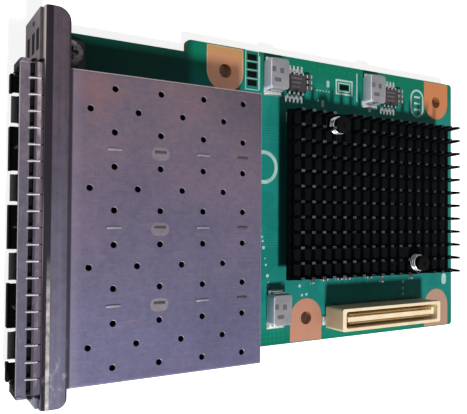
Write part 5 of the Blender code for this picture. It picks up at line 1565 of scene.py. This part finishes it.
@dataclass
class HeatSink:
    """The heat sink, what is under it, and the pins and springs that hold it."""

    card: Card
    shop: Workshop
    head_radius: float = 2.0 * MM
    neck: float = 1.1 * MM
    barb: float = 1.7 * MM
    dome: float = 0.45 * MM
    split: float = 0.5 * MM
    spring_turns: float = 3.0
    wire: float = 0.2 * MM

    def build(self) -> None:
        """Dresses the sink and its chip, and makes the pins and springs."""
        self.shop.dress(ANODISED, "heat_sink")
        self.shop.dress(EPOXY, "controller_chip")
        self.shop.dress(PAD, "thermal_pad")
        pins, springs = self.shop.family("push_pin"), self.shop.family("push_pin_spring")
        for number, (pin, spring) in enumerate(zip(pins, springs), start=1):
            self.pin(number, pin)
            self.spring(number, spring)

    def pin(self, number: int, node: str) -> None:
        """A moulded push pin with a domed head and a split barb.

        Args:
            number: Which pin it is.
            node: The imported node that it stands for.
        """
        low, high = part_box(node)
        x, y = (low.x + high.x) / 2, (low.y + high.y) / 2
        neck, barb, head = self.neck, self.barb, self.head_radius
        under = self.card.board_low - 0.3 * MM
        rim = high.z - self.dome
        profile = [(0.0, low.z), (0.5 * MM, low.z), (0.8 * MM, low.z + 0.15 * MM), (barb, under - 0.2 * MM)]
        profile += [(barb, under), (neck, under), (neck, high.z - 0.7 * MM)]
        profile += [(head - 0.1 * MM, high.z - 0.7 * MM), (head, high.z - 0.6 * MM)]
        for step in range(5):
            turn = math.radians(22.5 * step)
            profile.append((head - 0.5 * MM * (1 - math.cos(turn)), rim + self.dome * math.sin(turn)))
        profile += [(0.6 * MM, high.z), (0.5 * MM, high.z - 0.25 * MM), (0.0, high.z - 0.25 * MM)]
        bench, split = Bench(), Bench()
        bench.turned(x, y, profile)
        split.block(Vector((x, y, low.z)), (4.4 * MM, self.split, 2 * self.card.board_top))
        bench.cut(split)
        self.shop.piece(f"moulded_pin_{number}", bench, [PIN_PLASTIC], [node])

    def spring(self, number: int, node: str) -> None:
        """A steel coil between the sink's base and the pin's head.

        Args:
            number: Which spring it is.
            node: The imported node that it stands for.
        """
        low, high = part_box(node)
        foot = Vector(((low.x + high.x) / 2, (low.y + high.y) / 2, low.z + self.wire))
        radius, height = (high.x - low.x) / 2 - self.wire, high.z - low.z - 2 * self.wire
        bench = Bench()
        bench.coil(foot, radius, self.wire, height, self.spring_turns)
        self.shop.piece(f"wound_spring_{number}", bench, [SPRING_STEEL], [node], 60.0)


@dataclass
class Components:
    """The soldered parts: inductors, capacitors, resistors and power ICs."""

    card: Card
    shop: Workshop
    corner_round: float = 0.75 * MM
    rim_round: float = 0.3 * MM
    lit_facing: float = -0.35
    clip_size: Triple = mm(3.2, 0.3, 1.5)
    clip_height: float = 0.85 * MM
    clip_feet: tuple[Triple, Triple] = (mm(5.0, 2.1, 0.6), mm(4.0, 1.3, 0.4))
    body_lift: float = 0.15 * MM
    inductor_marks: tuple[tuple[float, ...], ...] = (
        mm(-1.75, 0.8, 1.0, 1.2), mm(0.4, 0.65, 1.1, 1.2), mm(-0.7, -1.5, 1.8, 0.9)
    )
    chip_end: float = 0.22
    lead_reach: float = 1.6 * MM
    lead_width: float = 0.42 * MM
    lead_sheet: float = 0.18 * MM
    lead_pitch: float = 1.27 * MM
    lead_count: int = 4
    pad_count: int = 5
    pad_size: Triple = mm(0.5, 1.5, 0.12)

    def build(self) -> None:
        """Makes every soldered part."""
        for number, node in enumerate(self.shop.family("inductor"), start=1):
            self.inductor(number, node)
        for number, node in enumerate(self.shop.family("capacitor"), start=1):
            self.chip(f"ceramic_capacitor_{number}", node, CAPACITOR_BODY, CAPACITOR_BODY)
        for number, node in enumerate(self.shop.family("chip_resistor"), start=1):
            self.chip(f"film_resistor_{number}", node, ALUMINA, RESISTOR_TOP)
        for number, node in enumerate(self.shop.family("power_ic"), start=1):
            self.power_ic(number, node)

    def inductor(self, number: int, node: str) -> None:
        """A pressed ferrite block with tinned end clips in solder.

        Args:
            number: Which inductor it is.
            node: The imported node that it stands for.
        """
        low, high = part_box(node)
        middle = (low + high) / 2
        proud = self.clip_size[1]
        width = high.y - low.y - 2 * proud
        base = self.card.board_top
        foot = base + self.body_lift
        bench = Bench()
        centre = Vector((middle.x, middle.y, (foot + high.z) / 2))
        body = bench.block(centre, (high.x - low.x, width, high.z - foot))
        bench.bevel(edges_of(body, upright=True), self.corner_round, 5)
        rim = [edge for edge in bench.mesh.edges if all(vert.co.z > high.z - 0.01 * MM for vert in edge.verts)]
        bench.bevel(rim, self.rim_round, 3)
        bench.outward()
        # Faces toward -X take the paler ferrite as painted light.
        for face in bench.mesh.faces:
            if face.normal.x < self.lit_facing:
                face.material_index = 3
        for side, size in zip(BOTH, self.clip_feet):
            y = middle.y + side * (width / 2 + proud / 2)
            bench.block(Vector((middle.x, y, base + self.clip_height)), self.clip_size, 1, 0.06 * MM)
            bench.mound(Vector((middle.x, middle.y + side * (width / 2 + 0.1 * MM), base)), size, 1, 0.75)
        for x, y, length, across in self.inductor_marks:
            centre = Vector((middle.x + x, middle.y + y, high.z - 0.004 * MM))
            bench.block(centre, (length, across, 0.012 * MM), 2)
        self.shop.piece(f"pressed_inductor_{number}", bench, [FERRITE, BRIGHT_TIN, FERRITE_MARK, LIT_FERRITE], [node])

    def chip(self, name: str, node: str, body: Finish, cover: Finish) -> None:
        """A two-ended chip component on its pads.

        Args:
            name: The piece's name.
            node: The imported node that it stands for.
            body: The body's finish.
            cover: The finish of the layer on its top.
        """
        low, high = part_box(node)
        middle, size = (low + high) / 2, high - low
        along = 0 if size.x > size.y else 1
        length, width = size[along], size[1 - along]
        end = self.chip_end * length
        base, top = self.card.board_top, high.z
        bench = Bench()
        for rise, lie, finish, fillet in (
            (base + top, (length - end, width - 0.06 * MM, top - base - 0.12 * MM), 0, 0.05 * MM),
            (2 * top - 0.06 * MM, (length - 2 * end, 0.86 * width, 0.03 * MM), 2, 0.0),
        ):
            bench.block(Vector((middle.x, middle.y, rise / 2)), self.lying(along, *lie), finish, fillet)
        cap = self.lying(along, end, width, top - base - 0.04 * MM)
        pad = self.lying(along, end + 0.22 * MM, 1.05 * width, 0.16 * MM)
        for side in BOTH:
            foot = Vector((middle.x, middle.y, base))
            foot[along] += side * (length - end) / 2
            bench.block(foot + Vector((0, 0, (top - base) / 2)), cap, 1, 0.07 * MM)
            bench.mound(foot, pad, 1, 0.7)
        self.shop.piece(name, bench, [body, TIN, cover], [node])

    def lying(self, along: int, length: float, width: float, height: float) -> Triple:
        """A size in the order X, Y and Z, with the length along X (0) or Y (1)."""
        return (width, length, height) if along else (length, width, height)

    def power_ic(self, number: int, node: str) -> None:
        """An eight-lead package with gull-wing leads in solder.

        Args:
            number: Which package it is.
            node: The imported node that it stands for.
        """
        low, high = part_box(node)
        middle = (low + high) / 2
        base = self.card.board_top
        length, reach = high.x - low.x, (high.y - low.y) / 2
        width = 2 * (reach - self.lead_reach)
        bench, pads = Bench(), Bench()
        foot = base + 0.25 * MM
        body = bench.block(Vector((middle.x, middle.y, (foot + high.z) / 2)), (length, width, high.z - foot))
        rim = {edge for edge in edges_of(body) if min(vert.co.z for vert in edge.verts) > middle.z}
        bench.bevel(rim, self.rim_round, 1)
        dot = Vector((middle.x - 0.36 * length, middle.y - 0.3 * width, high.z - 0.1 * MM))
        bench.rod(dot, 0.102 * MM, 0.3 * MM, 2, 16)
        for row in range(3):
            stripe = Vector((middle.x - 0.1 * length, middle.y + (0.26 - 0.26 * row) * width, high.z))
            bench.block(stripe, ((0.62 - 0.1 * row) * length, 0.09 * width, 0.012 * MM), 3)
        for lead in range(self.lead_count):
            x = middle.x + (lead - (self.lead_count - 1) / 2) * self.lead_pitch
            for side in BOTH:
                self.lead(bench, Vector((x, middle.y + side * width / 2, base)), middle.y + side * reach, side)
        for pad in range(self.pad_count):
            x = middle.x + (pad - (self.pad_count - 1) / 2) * 0.23 * length
            for side in BOTH:
                pads.mound(Vector((x, middle.y + side * (reach + 0.1 * MM), base)), self.pad_size, 0, 0.7)
        self.shop.piece(f"driver_pads_{number}", pads, [BRIGHT_TIN])
        self.shop.piece(f"driver_package_{number}", bench, [EPOXY, TIN, RESISTOR_TOP, EPOXY_MARK], [node])

    def lead(self, bench: Bench, root: Vector, toe: float, side: int) -> None:
        """Adds one gull-wing lead and its solder.

        Args:
            bench: The mesh to add to.
            root: Where it leaves the package, at the board's face.
            toe: Where it ends along Y.
            side: 1 where it runs to +Y and -1 where it runs to -Y.
        """
        sheet = self.lead_sheet
        knee = root.y + side * 0.6 * MM
        shin = abs(toe - knee)
        for y, rise, along, high in (
            ((root.y - side * 0.1 * MM + knee) / 2, 1.0 * MM, abs(knee - root.y) + 0.1 * MM, sheet),
            (knee, 0.55 * MM, sheet, 1.05 * MM),
            ((knee + toe) / 2, 0.16 * MM, shin, sheet),
        ):
            bench.block(Vector((root.x, y, root.z + rise)), (self.lead_width, along, high), 1, 0.03 * MM)
        solder = (0.62 * MM, shin + 0.2 * MM, 0.14 * MM)
        bench.mound(Vector((root.x, (knee + toe) / 2, root.z)), solder, 1, 0.8)


@dataclass
class MezzanineConnector:
    """The board-to-board connector: housing, contacts and solder tails."""

    card: Card
    shop: Workshop
    contact_count: int = 48
    tail_size: Triple = mm(0.3, 0.7, 0.14)
    tail_pitch: float = 0.8 * MM
    pad_size: Triple = mm(1.6, 2.4, 0.45)

    def build(self) -> None:
        """Dresses the housing and makes its contacts and tails."""
        self.shop.dress(CREAM, "mezzanine_housing")
        bench = Bench()
        nodes = self.shop.family("mezzanine_contacts")
        for node in nodes:
            self.row(bench, *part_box(node))
        self.shop.piece("mezzanine_blades", bench, [GOLD], nodes)
        self.tails()

    def row(self, bench: Bench, low: Vector, high: Vector) -> None:
        """Adds one row of contact blades along the tongue.

        Args:
            bench: The mesh to add to.
            low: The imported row's lowest corner.
            high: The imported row's highest corner.
        """
        pitch = (high.x - low.x) / self.contact_count
        middle = (low + high) / 2
        size = (0.55 * pitch, high.y - low.y, high.z - low.z)
        for contact in range(self.contact_count):
            bench.block(Vector((low.x + (contact + 0.5) * pitch, middle.y, middle.z)), size, fillet=0.04 * MM)

    def tails(self) -> None:
        """The solder tails along both sides of the housing, and the hold-down pads at its ends."""
        low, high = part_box("mezzanine_housing")
        middle = (low + high) / 2
        base = self.card.board_top
        bench = Bench()
        count = int((high.x - low.x - 3 * MM) / self.tail_pitch)
        reach = self.tail_size[1] / 2 - 0.1 * MM
        for tail in range(count):
            x = middle.x + (tail - (count - 1) / 2) * self.tail_pitch
            for side, edge in zip(BOTH, (low.y, high.y)):
                bench.block(Vector((x, edge + side * reach, base + 0.12 * MM)), self.tail_size, fillet=0.03 * MM)
        for side, end in zip(BOTH, (low.x, high.x)):
            bench.mound(Vector((end + side * 0.3 * MM, middle.y - 0.8 * MM, base)), self.pad_size, 1, 0.8)
        self.shop.piece("connector_tails", bench, [SHADED_TAIL_TIN, BRIGHT_TIN])


def main() -> None:
    """Builds the looks in order."""
    logging.basicConfig(level=logging.INFO, format="%(name)s: %(message)s")
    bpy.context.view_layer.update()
    card = Card.measured()
    shop = Workshop()
    Studio().build()
    for assembly in (Board, Cage, FacePlate, HeatSink, Components, MezzanineConnector):
        assembly(card, shop).build()


if __name__ == "__main__":
    main()
